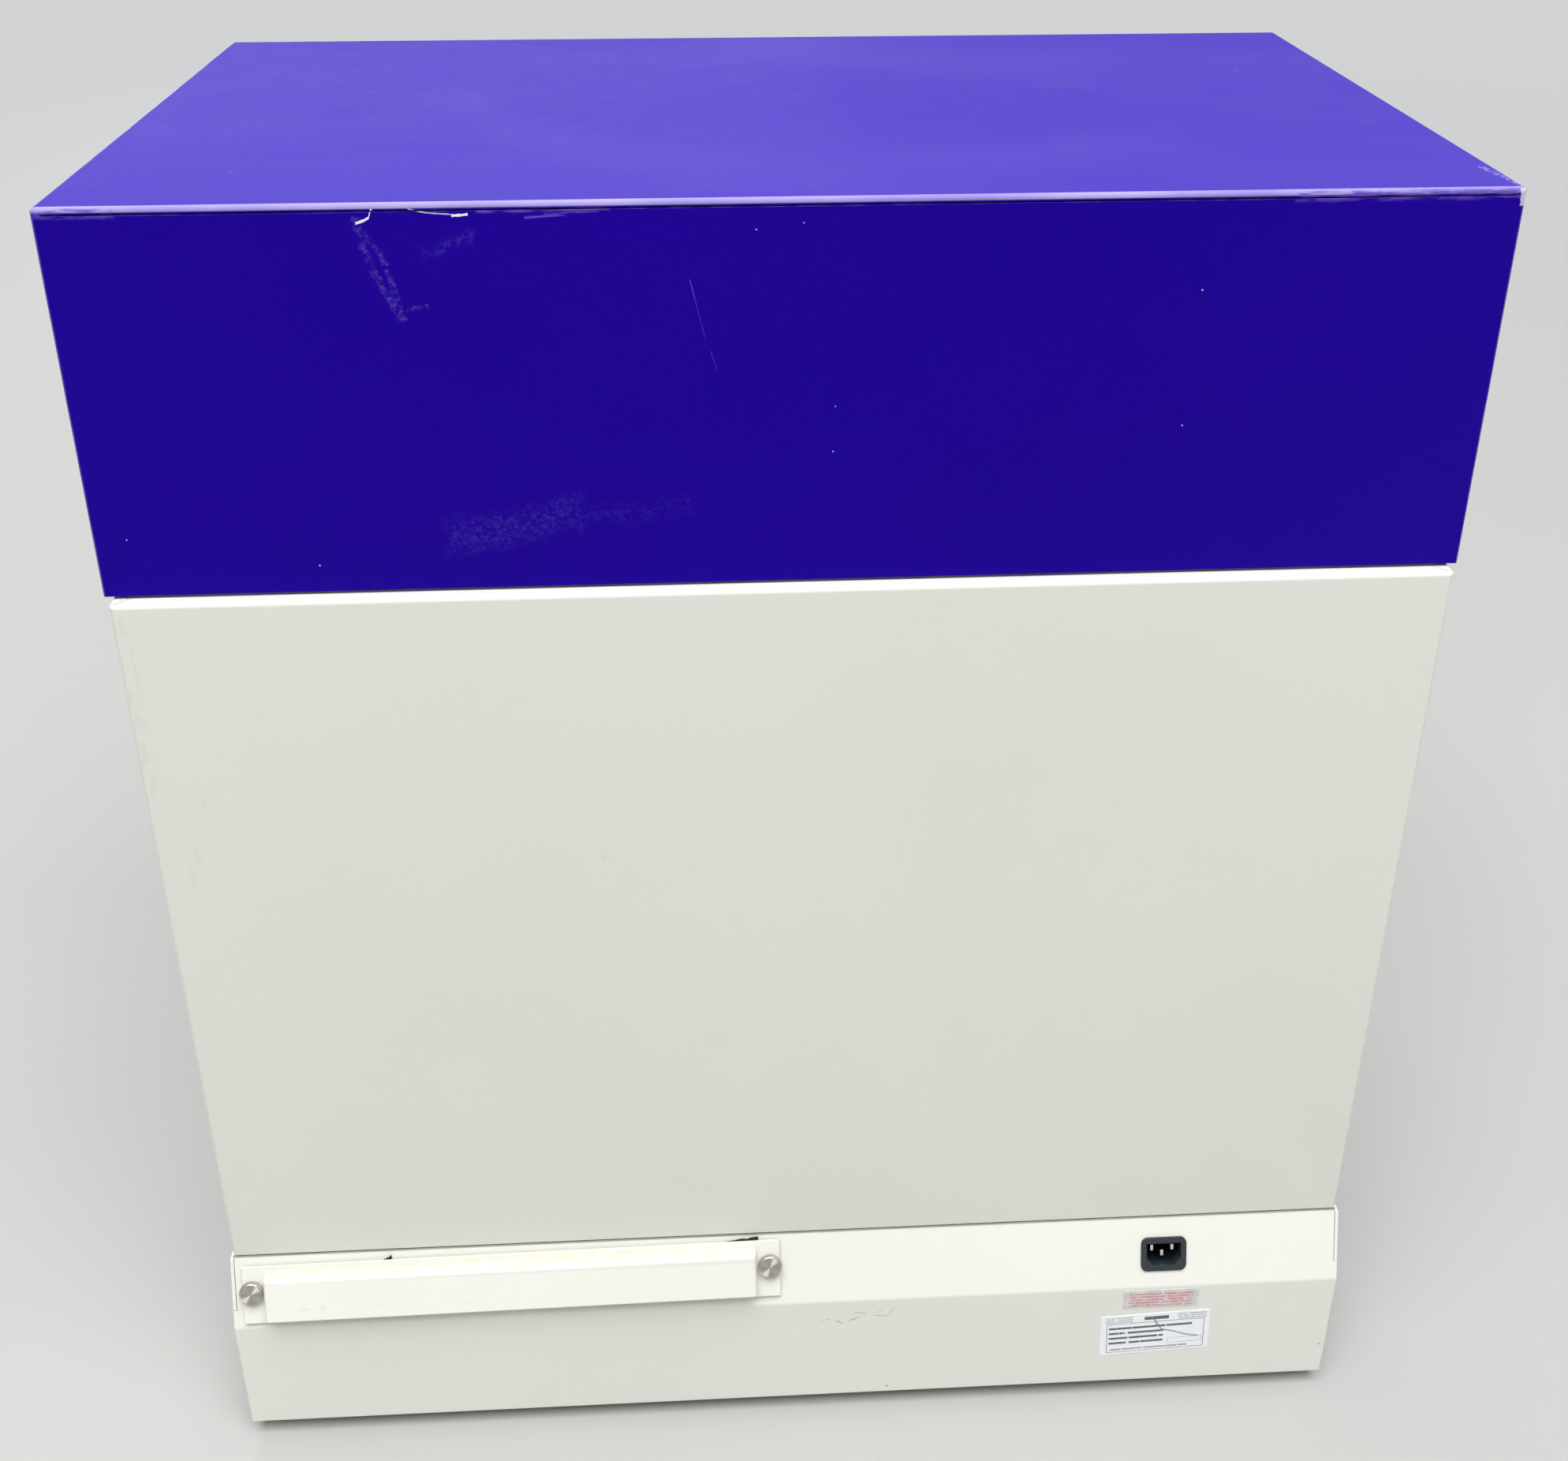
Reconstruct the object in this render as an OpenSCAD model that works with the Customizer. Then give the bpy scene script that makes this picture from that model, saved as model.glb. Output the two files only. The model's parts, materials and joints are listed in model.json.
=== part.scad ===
// Bench-top clean-air cabinet with ultraviolet lamps and a folding front door.
// A blower in the base draws room air through a pre-filter on the rear slope and
// pushes it up a duct in the double rear wall to a fine filter in the hood.
// Origin: bottom centre of the footprint, on the plane of the feet.
// +X right seen from the front, -Y front (door), +Y rear (intake), +Z up. Sizes in mm.

/* [Cabinet] */
// Width of the hood
hood_w = 750; // [740:1:760]
// Depth of the hood
hood_d = 425; // [415:1:430]
// Height of the hood
hood_h = 216; // [200:1:240]
// Width of the body between hood and base
body_w = 741; // [736:0.5:744]
// Height of the body between hood and base
body_h = 492; // [470:1:520]
// How far the rear panel stands out behind the hood
ledge = 8; // [7:0.5:10]
// Gap between rear panel and hood that the grey gasket fills
seam_gap = 1.8; // [1.5:0.1:2.5]
// Thickness of the folded sheet
sheet_t = 1.5; // [1.2:0.1:1.8]
// Outer bend radius of the folded sheet
bend_r = 2.5; // [2:0.1:3]

/* [Base] */
// Width of the base
base_w = 745.5; // [744:0.5:750]
// Depth of the base at its foot
base_d = 550; // [545:1:560]
// Height of the upright wall of the base
base_wall_h = 91; // [89:0.5:94]
// Height of the sloped part of the base
slope_rise = 49; // [48:0.5:51]
// How far the rear slope leans in
rear_slope_run = 16; // [15:0.5:17]
// How far the control slope leans in at the front
front_slope_run = 40; // [38:1:42]
// Height of the rubber feet
foot_h = 14; // [12:1:16]

/* [Door] */
// How far the door plane leans back from bottom to top
door_lean = 59; // [55:1:62]
// Thickness of the door panes
pane_t = 5; // [4:0.5:6]
// Length of the upper door leaf
upper_leaf = 244; // [230:1:246]
// Length of the lower door leaf
lower_leaf = 204; // [190:1:208]
// Distance of each door hinge from the middle of the door
hinge_x = 240; // [200:5:280]

/* [Filter and lamps] */
// Width of the fine filter
filter_w = 610; // [600:1:620]
// Depth of the fine filter
filter_d = 305; // [300:1:308]
// Height of the fine filter
filter_h = 78; // [60:1:90]
// Length of a lamp between its end caps
lamp_l = 414; // [400:1:420]
// Radius of a lamp tube
lamp_r = 13; // [12.5:0.1:13]
// Height of the lamp axes
lamp_z = 622; // [620:1:623]

/* [Intake cover] */
// Width of the intake cover's flange
cover_w = 356; // [350:1:358]
// Height of the intake cover's flange
cover_h = 40; // [38:0.5:42]
// Centre of the intake cover along X
cover_x = 187.2; // [185:0.2:188]
// Slight tilt of the intake cover on its two screws, in degrees
cover_tilt = 0.5; // [0:0.1:0.6]
// Width of the raised hood of the cover
scoop_w = 324; // [318:0.5:324]
// How far the raised hood stands out of the flange
scoop_h = 9.5; // [8:0.5:12]
// Distance between the two thumb screws
screw_pitch = 342.5; // [340:0.5:343]

/* [Hidden] */

// Outer bend radius of the wide fold between slope and upright wall
fold_r = 8;
// Gap between the ends of the base and its two covers, which clears the round of their folds
fold_gap = 0.5;
// Gap between two faces that rest on each other at an angle to the axes
hair = 0.02;
// Reach of a cutting shape past the surface it cuts
cut = 10;
// Overlap that joins two shapes into one solid
join = 0.1;
// Play around a piece that is set into another
fit = 0.2;
// Radial play of a piece that turns or slides
running_gap = 0.06;
// Facets of small, middling and large rounds
fn_s = 32;
fn_m = 48;
fn_l = 96;

// Heights
fold_z = foot_h + base_wall_h;
top_z = fold_z + slope_rise;
hood_z = top_z + body_h;
lid_z = hood_z + hood_h;
// Depths
rear_y = base_d / 2 - rear_slope_run;
hood_rear = rear_y - ledge;
hood_front = hood_rear - hood_d;
front_y = -base_d / 2 + front_slope_run;
// Slopes, as angles from the horizontal
rear_slope_a = atan2(slope_rise, rear_slope_run);
front_slope_a = atan2(slope_rise, front_slope_run);
front_slope_l = norm([slope_rise, front_slope_run]);
door_a = atan2(body_h, door_lean);
// Top of the door plane, in line with the top of the side frames
door_top_y = hood_front + 8;
door_foot_y = door_top_y - door_lean;

// Rubber feet
foot_x = 320;
foot_y = 225;
foot_r = 19;
foot_screw_r = 2.5;

// Ends of the base shell that turn round the rear slope's two edges
return_w = 2.2;
return_gap = 0.4;
return_s0 = 2;
return_s1 = 38.5;

// Side walls of the chamber and the air duct behind its rear wall
frame_t = 16;
frame_x = body_w / 2 - frame_t;
flange_d = 14.5;
frame_rear = rear_y - flange_d - 0.5;
liner_y = 215;
duct_front = liner_y + sheet_t;
duct_rear = hood_rear - sheet_t - 6;
window_inset = 1;
window_t = 5;
rabbet = 8;
window_gasket_t = 1.6;

// Hood
lid_lip = 3.5;
lid_gap = 0.8;
hood_corner_r = 1.6;
hood_flange = 20;

// Fine filter and the deck that carries it
deck_z = hood_z + 18;
deck_top = deck_z + sheet_t;
filter_y = 10;
filter_gasket_h = 4;
filter_z = deck_top + filter_gasket_h;
border = 15;
clamp_x = filter_w / 2 + 8;
clamp_y = 100;
clamp_screw_r = 3;
nut_r = 5.5;
nut_h = 4;

// Lamps: one white lamp in front, three ultraviolet ones behind it
white_y = -112;
uv_y = [-37, 43, 123];
lamp_ys = concat([white_y], uv_y);
cap_l = 12;
lamp_pin_l = 6.5;
lamp_pin_r = 1.2;
lamp_pin_gap = 6.35;
holder_x = lamp_l / 2 + cap_l + 0.5;
holder_t = 18;
holder_r = 12.5;
rail_h = 6;

// Blower, on a vertical axis in the base
blower_x = -40;
blower_y = 20;
blower_z = 30;
blower_h = 82;
wall = 2;
wheel_r = 90;
scroll_r0 = 102;
scroll_grow = 48;
outlet_x0 = blower_x - scroll_r0 - scroll_grow;
outlet_x1 = outlet_x0 + 130;
outlet_y = 150;
eye_r = 60;
motor_r = 38;
motor_h = 34;
shaft_r = 4;

// Intake cover, measured down the rear slope from its middle
cover_s = 25.1;
scoop_s0 = -15;
scoop_s1 = 14.1;
cover_t = 1.2;
cover_gasket_t = 1.5;
cover_w0 = cover_gasket_t;
cover_w1 = cover_w0 + cover_t;
scoop_top = cover_w1 + scoop_h;
screw_s = -3.5;
screw_head_r = 7.95;
screw_head_h = 3.6;
screw_head_w = cover_w1 + 1.6;
screw_shank_r = 2;
screw_tip = 9;
intake_w = scoop_w - 16;
intake_s0 = scoop_s0 + 3;
intake_s1 = scoop_s1 - 3;

// Mains inlet on the rear slope
inlet_x = -252.1;
inlet_s = 27;
inlet_w = 31;
inlet_h = 24;
inlet_body_w = 27;
inlet_body_h = 19.8;
inlet_lip = 1.4;
inlet_depth = 24;

// Controls on the front slope, measured up the slope from its lower edge
panel_s = front_slope_l / 2;
panel_w = 300;
panel_h = 50;
panel_x = 190;
overlay_t = 0.5;
light_x = 85;
uv_x = 135;
timer_x = 210;
speed_x = 290;
bezel_w = 25;
bezel_h = 32;
bezel_t = 2.2;
rocker_w = 15;
rocker_r = 12.2;
rocker_tilt = 7;
rocker_axis = -1.5;
rocker_pin_r = 1.5;
timer_knob_r = 17;
speed_knob_r = 12;
speed_knob_h = 15;
knob_rim = 2.6;
knob_zero_a = 150;
spindle_r = 3;
bush_r = 4.5;
// The timer knob reaches as far forward as the intake cover reaches back
cover_low_s = cover_s + scoop_s1 * cos(cover_tilt) + scoop_w / 2 * sin(cover_tilt);
cover_reach = rear_y + cover_low_s * cos(rear_slope_a) + scoop_top * sin(rear_slope_a);
knob_lean = (panel_s - timer_knob_r + knob_rim) * cos(front_slope_a);
timer_knob_h = (cover_reach - base_d / 2 + knob_lean) / sin(front_slope_a);

// Door, in the leaning plane: s runs up from the top edge, w runs outward
door_half = body_w / 2 - 1.5;
header_h = 32;
header_s = -1.2;
door_gap = 1;
pane_w1 = door_gap + pane_t;
pane_r = 6;
leaf_t = 1.5;
knuckle_r = 3.5;
knuckle_l = 20;
knuckle_gap = 0.3;
pin_r = 1.5;
axis_w = pane_w1 + knuckle_r;
upper_axis_s = -header_h - 1.5;
upper_top_s = upper_axis_s - 1.5;
fold_axis_s = upper_top_s - upper_leaf - 1;
lower_top_s = fold_axis_s - 1;
lower_bottom_s = lower_top_s - lower_leaf;
leaf_l = 24;
handle_s = lower_bottom_s + 22;
handle_r = 6;
handle_out = 14;
handle_half = 60;
plunger_x = body_w / 2 - 9;
plunger_s = upper_axis_s - 34;
plunger_r = 3;

// ---- Helpers ----

function unit(v) = v / norm(v);
function left_of(v) = [-v.y, v.x];
function turn(a, b) = a.x * b.y - a.y * b.x;

// Points of the arc that rounds corner b of the line a-b-c with radius r
function arc_points(a, b, c, r, steps = 6) =
    let (u = unit(a - b), v = unit(c - b), half = acos(u * v) / 2)
    let (o = b + unit(u + v) * r / sin(half), reach = r / tan(half))
    let (s = b + u * reach - o, e = b + v * reach - o)
    let (a0 = atan2(s.y, s.x), raw = atan2(e.y, e.x) - a0)
    let (sweep = raw > 180 ? raw - 360 : raw < -180 ? raw + 360 : raw)
    [for (i = [0:steps]) o + r * [cos(a0 + sweep * i / steps), sin(a0 + sweep * i / steps)]];

// Corner b of the line a-b-c, moved to the line's left by t
function shifted(a, b, c, t) =
    let (d1 = unit(b - a), d2 = unit(c - b))
    b + t * (left_of(d1) + left_of(d2)) / (1 + d1 * d2);

// A line moved to its left by t
function shifted_line(path, t) =
    let (n = len(path) - 1)
    [for (i = [0:n])
        i == 0 ? path[0] + t * left_of(unit(path[1] - path[0])) :
        i == n ? path[n] + t * left_of(unit(path[n] - path[n - 1])) :
        shifted(path[i - 1], path[i], path[i + 1], t)];

// A line with its inner corners rounded: radius left at left turns, right at right turns
function rounded_line(path, left, right) =
    let (n = len(path) - 1)
    [for (i = [0:n])
        each (i == 0 || i == n) ? [path[i]] :
        arc_points(path[i - 1], path[i], path[i + 1],
            turn(path[i] - path[i - 1], path[i + 1] - path[i]) > 0 ? left : right)];

// Line a-b-c with its corner rounded to radius r
function bend(a, b, c, r) = concat([a], arc_points(a, b, c, r), [c]);

function reversed(list) = [for (i = [len(list) - 1:-1:0]) list[i]];

// Folded sheet whose outer line is path and whose thickness lies to its left
module sheet(path, t = sheet_t, r = bend_r) {
    polygon(concat(
        rounded_line(path, r, r - t),
        reversed(rounded_line(shifted_line(path, t), r - t, r))));
}

// Box between two opposite corners
module box(lo, hi) {
    translate(lo) cube(hi - lo);
}

// Raises a profile drawn in Y and Z along X
module along_x(x0, x1) {
    translate([x0, 0, 0]) rotate([90, 0, 90]) linear_extrude(x1 - x0) children();
}

// Raises a profile drawn in X and Z along Y
module along_y(y0, y1) {
    translate([0, y1, 0]) rotate([90, 0, 0]) linear_extrude(y1 - y0) children();
}

// Rectangle with round corners, centred
module round_rect(w, h, r) {
    square([w - 2 * r, h], center = true);
    square([w, h - 2 * r], center = true);
    for (x = [-1, 1], y = [-1, 1])
        translate([x * (w / 2 - r), y * (h / 2 - r)]) circle(r, $fn = 48);
}

// Rectangle standing on y = 0 with its two upper corners round
module arch_rect(w, h, r) {
    polygon(rounded_line([[w / 2, 0], [w / 2, h], [-w / 2, h], [-w / 2, 0]], r, r));
}

// Places its children on both sides of the middle plane
module mirrored_x() {
    children();
    mirror([1, 0, 0]) children();
}

// Rear slope: local x along X, y down the slope, z outward
module on_rear_slope(x = 0, s = 0) {
    translate([x, rear_y, top_z]) rotate([-rear_slope_a, 0, 0]) translate([0, s, 0]) children();
}

// Front slope: local x along X, y up the slope, z outward
module on_front_slope(x = 0, s = 0) {
    translate([x, -base_d / 2, fold_z]) rotate([front_slope_a, 0, 0]) translate([0, s, 0]) children();
}

// Intake cover: local x along X, y down the rear slope from its middle, z outward
module on_cover() {
    on_rear_slope(cover_x, cover_s) rotate(cover_tilt) children();
}

// Upright rear wall of the base: local x towards -X, y up, z outward
module on_rear_wall(x, z) {
    translate([x, base_d / 2, z]) rotate([90, 0, 180]) children();
}

// Leaning door plane: local x along X, y up the plane from its top edge, z outward
module on_door(s = 0) {
    translate([0, door_top_y, hood_z]) rotate([door_a, 0, 0]) translate([0, s, 0]) children();
}

// Places its children at each foot
module at_feet() {
    for (x = [-1, 1], y = [-1, 1]) translate([x * foot_x, y * foot_y, 0]) children();
}

// Places its children at each filter clamp, with local x towards the side wall
module at_clamps() {
    for (x = [-1, 1], y = [-1, 1])
        translate([x * clamp_x, filter_y + y * clamp_y, 0]) mirror([x < 0 ? 1 : 0, 0, 0]) children();
}

// Places its children at each thumb screw, on the intake cover
module at_screws() {
    on_cover() for (side = [-1, 1]) translate([side * screw_pitch / 2, screw_s, 0]) children();
}

// ---- Base ----

rear_path = [[base_d / 2, foot_h], [base_d / 2, fold_z], [rear_y, top_z]];
front_path = [[front_y, top_z], [-base_d / 2, fold_z], [-base_d / 2, foot_h]];

// Outline of the base in Y and Z inside its two covers
module base_outline() {
    inset = sheet_t + fold_gap;
    polygon(concat(shifted_line(front_path, inset), shifted_line(rear_path, inset)));
}

module base_floor() {
    half_w = base_w / 2 - sheet_t - fit;
    half_d = base_d / 2 - sheet_t - 0.5;
    lip_h = 15;
    color("gainsboro") difference() {
        union() {
            box([-half_w, -half_d, foot_h], [half_w, half_d, foot_h + sheet_t]);
            mirrored_x() box([half_w - sheet_t, -half_d, foot_h], [half_w, half_d, foot_h + lip_h]);
        }
        at_feet() cylinder(r = foot_screw_r + fit, h = 2 * foot_h, $fn = fn_s);
    }
}

module base_shell() {
    color("ivory") {
        intersection() {
            along_y(-base_d / 2, base_d / 2) sheet([
                [base_w / 2, foot_h], [base_w / 2, top_z], [-base_w / 2, top_z], [-base_w / 2, foot_h]]);
            along_x(-base_w / 2, base_w / 2) base_outline();
            around_duct();
        }
        mirrored_x() on_rear_slope()
            box([base_w / 2 - return_w, return_s0, -sheet_t - fold_gap - join],
                [base_w / 2, return_s1, 0]);
    }
}

// All space but the duct's slot through the top of the base
module around_duct() {
    difference() {
        box([-base_w, -base_d, 0], [base_w, base_d, lid_z]);
        box([outlet_x0 + wall, duct_front + 1, top_z - cut], [outlet_x1 - wall, duct_rear, top_z + cut]);
    }
}

module base_rear_cover() {
    notch = return_w + return_gap;
    color("ivory") difference() {
        along_x(-base_w / 2, base_w / 2) sheet(rear_path, sheet_t, fold_r);
        mirrored_x() on_rear_slope()
            box([base_w / 2 - notch, -cut, -cut], [base_w, return_s1 + return_gap, cut]);
        on_cover() box([1 - intake_w / 2, intake_s0 + 1, -cut], [intake_w / 2 - 1, intake_s1 - 1, cut]);
        on_rear_slope(inlet_x, inlet_s)
            cube([inlet_body_w + 2 * fit, inlet_body_h + 2 * fit, 2 * cut], center = true);
        at_screws() cylinder(r = screw_shank_r + running_gap, h = 2 * cut, center = true, $fn = fn_s);
    }
}

module base_front_cover() {
    color("ivory") difference() {
        along_x(-base_w / 2, base_w / 2) sheet(front_path, sheet_t, fold_r);
        for (x = [light_x, uv_x])
            on_front_slope(x, panel_s) cube([bezel_w - 2, bezel_h - 2, 2 * cut], center = true);
        for (x = [timer_x, speed_x])
            on_front_slope(x, panel_s) cylinder(r = bush_r + join, h = 2 * cut, center = true, $fn = fn_m);
    }
}

module rubber_feet() {
    recess_r = 7;
    recess_z = 7;
    bore_r = foot_screw_r + join;
    color("dimgray") at_feet() rotate_extrude($fn = fn_l) polygon([
        [bore_r, recess_z], [recess_r, recess_z], [recess_r, 0], [foot_r - 3, 0], [foot_r - 1, 1.5],
        [foot_r, foot_h], [bore_r, foot_h]]);
}

module foot_screws() {
    head_h = 3.4;
    head_z = 3.6;
    nut_z = foot_h + sheet_t;
    color("silver") at_feet() {
        translate([0, 0, head_z]) cylinder(r = 5, h = head_h, $fn = fn_m);
        translate([0, 0, head_z + 1]) cylinder(r = foot_screw_r, h = nut_z + nut_h - head_z, $fn = fn_m);
        translate([0, 0, nut_z]) cylinder(r = 4.6, h = nut_h, $fn = 6);
    }
}

// Tray with a raised rim
module work_surface() {
    rim = 5;
    rim_t = 1.2;
    tray_t = 0.8;
    x1 = frame_x - 1;
    y0 = door_foot_y + 4;
    y1 = liner_y - 1;
    color("silver") difference() {
        box([-x1, y0, top_z], [x1, y1, top_z + rim_t]);
        box([rim - x1, y0 + rim, top_z + tray_t], [x1 - rim, y1 - rim, top_z + cut]);
    }
}

// ---- Body ----

// Pan with its upper and side edges turned in, its two upper corners mitred
module rear_panel() {
    z0 = top_z + 1;
    h = hood_z - seam_gap - z0;
    z1 = z0 + h;
    y0 = rear_y - flange_d;
    slit = 0.4;
    slit_from = 3;
    slit_to = 22;
    corner_r = 1;
    color("whitesmoke") difference() {
        intersection() {
            along_y(0, rear_y) translate([0, z0]) arch_rect(body_w, h, corner_r);
            translate([0, y0, z0]) linear_extrude(h) arch_rect(body_w, flange_d, bend_r);
            along_x(-body_w, body_w)
                polygon(concat(bend([rear_y, 0], [rear_y, z1], [y0, z1], bend_r), [[y0, 0]]));
        }
        box([sheet_t - body_w / 2, 0, 0], [body_w / 2 - sheet_t, rear_y - sheet_t, z1 - sheet_t]);
        mirrored_x() translate([body_w / 2, rear_y, z1]) rotate([0, 0, -135])
            box([slit_from, -slit / 2, -sheet_t], [slit_to, slit / 2, 1]);
    }
}

module rear_liner() {
    x1 = frame_x - 1.5;
    color("whitesmoke") box([-x1, liner_y, top_z + join], [x1, duct_front, deck_z - fit]);
}

// Outline of a side frame in Y and Z
side_outline = [
    [door_foot_y, top_z], [frame_rear, top_z], [frame_rear, hood_z], [door_top_y, hood_z]];

// Outline of its window, m smaller on every side
function window_outline(m) =
    let (lean = door_lean / body_h, z0 = top_z + 40 + m, z1 = hood_z - 56 - m)
    let (yr = liner_y - 18 - m, front = door_foot_y + 36 + m)
    [[front + (z0 - top_z) * lean, z0], [yr, z0], [yr, z1], [front + (z1 - top_z) * lean, z1]];

// Right-hand side frame, rebated for its window
module side_frame() {
    depth = window_inset + window_t + window_gasket_t;
    difference() {
        along_x(frame_x, frame_x + frame_t) polygon(side_outline);
        along_x(frame_x - cut, frame_x + frame_t + cut) polygon(window_outline(0));
        along_x(frame_x - cut, frame_x + depth) polygon(window_outline(-rabbet));
    }
}

module side_frame_left() {
    color("whitesmoke") mirror([1, 0, 0]) side_frame();
}

// Body of the door switch: x across, y along and z along the plunger's axis
switch_lo = [-5, -10, -24];
switch_hi = [5, 10, -12];

module side_frame_right() {
    play = [fit, fit, fit];
    color("whitesmoke") difference() {
        side_frame();
        translate([plunger_x, 0, 0]) on_door(plunger_s) {
            translate([0, 0, switch_hi.z]) cylinder(r = plunger_r + running_gap, h = 20, $fn = fn_m);
            box(switch_lo - play, switch_hi + play);
        }
    }
}

module side_windows() {
    x0 = frame_x + window_inset;
    color("lightblue", 0.4) mirrored_x() along_x(x0, x0 + window_t) polygon(window_outline(0.6 - rabbet));
}

module window_gaskets() {
    x0 = frame_x + window_inset + window_t;
    color("dimgray") mirrored_x() along_x(x0, x0 + window_gasket_t) difference() {
        polygon(window_outline(0.3 - rabbet));
        polygon(window_outline(1.5));
    }
}

// ---- Hood ----

module hood_plan(inset = 0) {
    translate([0, (hood_rear + hood_front) / 2])
        round_rect(hood_w - 2 * inset, hood_d - 2 * inset, max(hood_corner_r - inset, fit));
}

module hood_wall(h) {
    linear_extrude(h) difference() {
        hood_plan();
        hood_plan(sheet_t);
    }
}

module hood_shell() {
    wall_top = lid_z - lid_lip - lid_gap;
    corner = 10;
    flange_w = hood_w - 2 * (hood_flange + sheet_t);
    color("slateblue") {
        translate([0, 0, hood_z]) hood_wall(wall_top - hood_z);
        // inward flange at the foot, narrow at the rear where the duct passes
        translate([0, 0, hood_z]) linear_extrude(sheet_t) difference() {
            hood_plan(0.5);
            translate([-flange_w / 2, hood_front + hood_flange])
                square([flange_w, duct_rear - hood_front - hood_flange]);
        }
        // the walls reach the lid only at the corners
        translate([0, 0, wall_top]) intersection() {
            hood_wall(lid_gap);
            for (x = [-1, 1], y = [hood_rear, hood_front])
                translate([x * hood_w / 2, y]) cube(corner, center = true);
        }
    }
}

module hood_lid() {
    mid = (hood_rear + hood_front) / 2;
    lip_z = lid_z - lid_lip;
    color("slateblue") difference() {
        intersection() {
            along_y(hood_front, hood_rear) translate([0, lip_z]) arch_rect(hood_w, lid_lip, bend_r);
            along_x(-hood_w / 2, hood_w / 2) translate([mid, lip_z]) arch_rect(hood_d, lid_lip, bend_r);
            translate([0, 0, lip_z]) linear_extrude(lid_lip) hood_plan();
        }
        translate([0, 0, lip_z - cut]) linear_extrude(lid_lip + cut - sheet_t) hood_plan(sheet_t);
    }
}

module hood_gasket() {
    x1 = body_w / 2 - 8;
    color("darkgray") box([-x1, frame_rear + 1, hood_z - seam_gap], [x1, hood_rear - 1.5, hood_z]);
}

// Tray that closes the hood from below and carries the fine filter
module filter_deck() {
    skirt = sheet_t + fit;
    y0 = hood_front + skirt;
    y1 = hood_rear - skirt;
    x1 = hood_w / 2 - skirt;
    z0 = hood_z + sheet_t;
    slot_x = frame_x - 12;
    color("gainsboro") difference() {
        box([-x1, y0, z0], [x1, y1, deck_top]);
        box([sheet_t - x1, y0 + sheet_t, z0 - cut], [x1 - sheet_t, y1 - sheet_t, deck_z]);
        translate([0, filter_y, deck_z])
            cube([filter_w - 2 * border, filter_d - 2 * border, 2 * cut], center = true);
        box([-slot_x, duct_front + 3, deck_z - cut], [slot_x, duct_rear - 1, deck_top + cut]);
        at_clamps() cylinder(r = clamp_screw_r + fit, h = lid_z, $fn = fn_s);
    }
}

module hepa_frame() {
    hole = [filter_w - 2 * border, filter_d - 2 * border, 2 * filter_h];
    color("tan") translate([0, filter_y, filter_z + filter_h / 2]) difference() {
        cube([filter_w, filter_d, filter_h], center = true);
        cube(hole, center = true);
    }
}

// Pleated paper, one zigzag sheet
module hepa_media() {
    w = filter_w - 2 * border - 2 * fit;
    d = filter_d - 2 * border - 2 * fit;
    pleats = 34;
    inset = 6;
    paper = 1.4;
    rise = filter_h - 2 * inset - paper;
    z0 = filter_z + inset;
    line = [for (i = [0:2 * pleats]) [filter_y - d / 2 + i * d / pleats / 2, z0 + i % 2 * rise]];
    color("white") along_x(-w / 2, w / 2)
        polygon(concat(line, [for (p = reversed(line)) p + [0, paper]]));
}

module hepa_gasket() {
    overhang = 2;
    color("dimgray") translate([0, filter_y, deck_top]) linear_extrude(filter_gasket_h) difference() {
        square([filter_w - 2, filter_d - 2], center = true);
        square([filter_w - 2 * (border - overhang), filter_d - 2 * (border - overhang)], center = true);
    }
}

// Studs with a strap each, which pull the filter down on its gasket
module filter_clamps() {
    z0 = deck_z - nut_h;
    z1 = filter_z + filter_h;
    strap = [28, 22, 2.5];
    color("silver") at_clamps() {
        translate([0, 0, z0]) cylinder(r = clamp_screw_r, h = z1 - z0 + 8, $fn = fn_s);
        translate([0, 0, z0]) cylinder(r = nut_r, h = nut_h, $fn = 6);
        translate([-6, 0, z1 + strap.z / 2]) cube(strap, center = true);
        translate([0, 0, z1 + strap.z]) cylinder(r = nut_r, h = nut_h, $fn = 6);
    }
}

module diffuser_grille() {
    y0 = hood_front + 6;
    y1 = liner_y - 2;
    z0 = hood_z + sheet_t;
    columns = 10;
    rows = 14;
    pitch_x = 68;
    pitch_y = 25;
    slot = [60, 9, 2 * cut];
    color("white") difference() {
        box([-frame_x, y0, z0], [frame_x, y1, z0 + sheet_t]);
        for (i = [0:columns - 1], j = [0:rows - 1])
            translate([(i - (columns - 1) / 2) * pitch_x, (y0 + y1) / 2 + (j - (rows - 1) / 2) * pitch_y, z0])
                cube(slot, center = true);
    }
}

// ---- Lamps ----

// Folded reflectors hung from cross bars between two end rails
module lamp_reflectors() {
    half = 22;
    drop = 9;
    reflector_t = 1;
    bar_half = 5;
    rail_half = 14;
    top = hood_z - rail_h;
    x_rail = holder_x + holder_t / 2;
    color("silver") {
        for (y = lamp_ys)
            along_x(-lamp_l / 2, lamp_l / 2) sheet(
                [[y + half, top - drop], [y + half / 2, top], [y - half / 2, top], [y - half, top - drop]],
                reflector_t, 2 * reflector_t);
        mirrored_x()
            box([x_rail - rail_half, door_top_y + 2, top], [x_rail + rail_half, liner_y - 1, hood_z]);
        for (y = lamp_ys)
            box([8 - x_rail, y - bar_half, top], [x_rail - 8, y + bar_half, hood_z - 2]);
    }
}

module lamp_tube(y) {
    translate([0, y, lamp_z]) rotate([0, 90, 0]) cylinder(r = lamp_r, h = lamp_l, center = true, $fn = fn_m);
}

module uv_tubes() {
    color("lightcyan", 0.6) for (y = uv_y) lamp_tube(y);
}

module white_tube() {
    color("white") lamp_tube(white_y);
}

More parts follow.
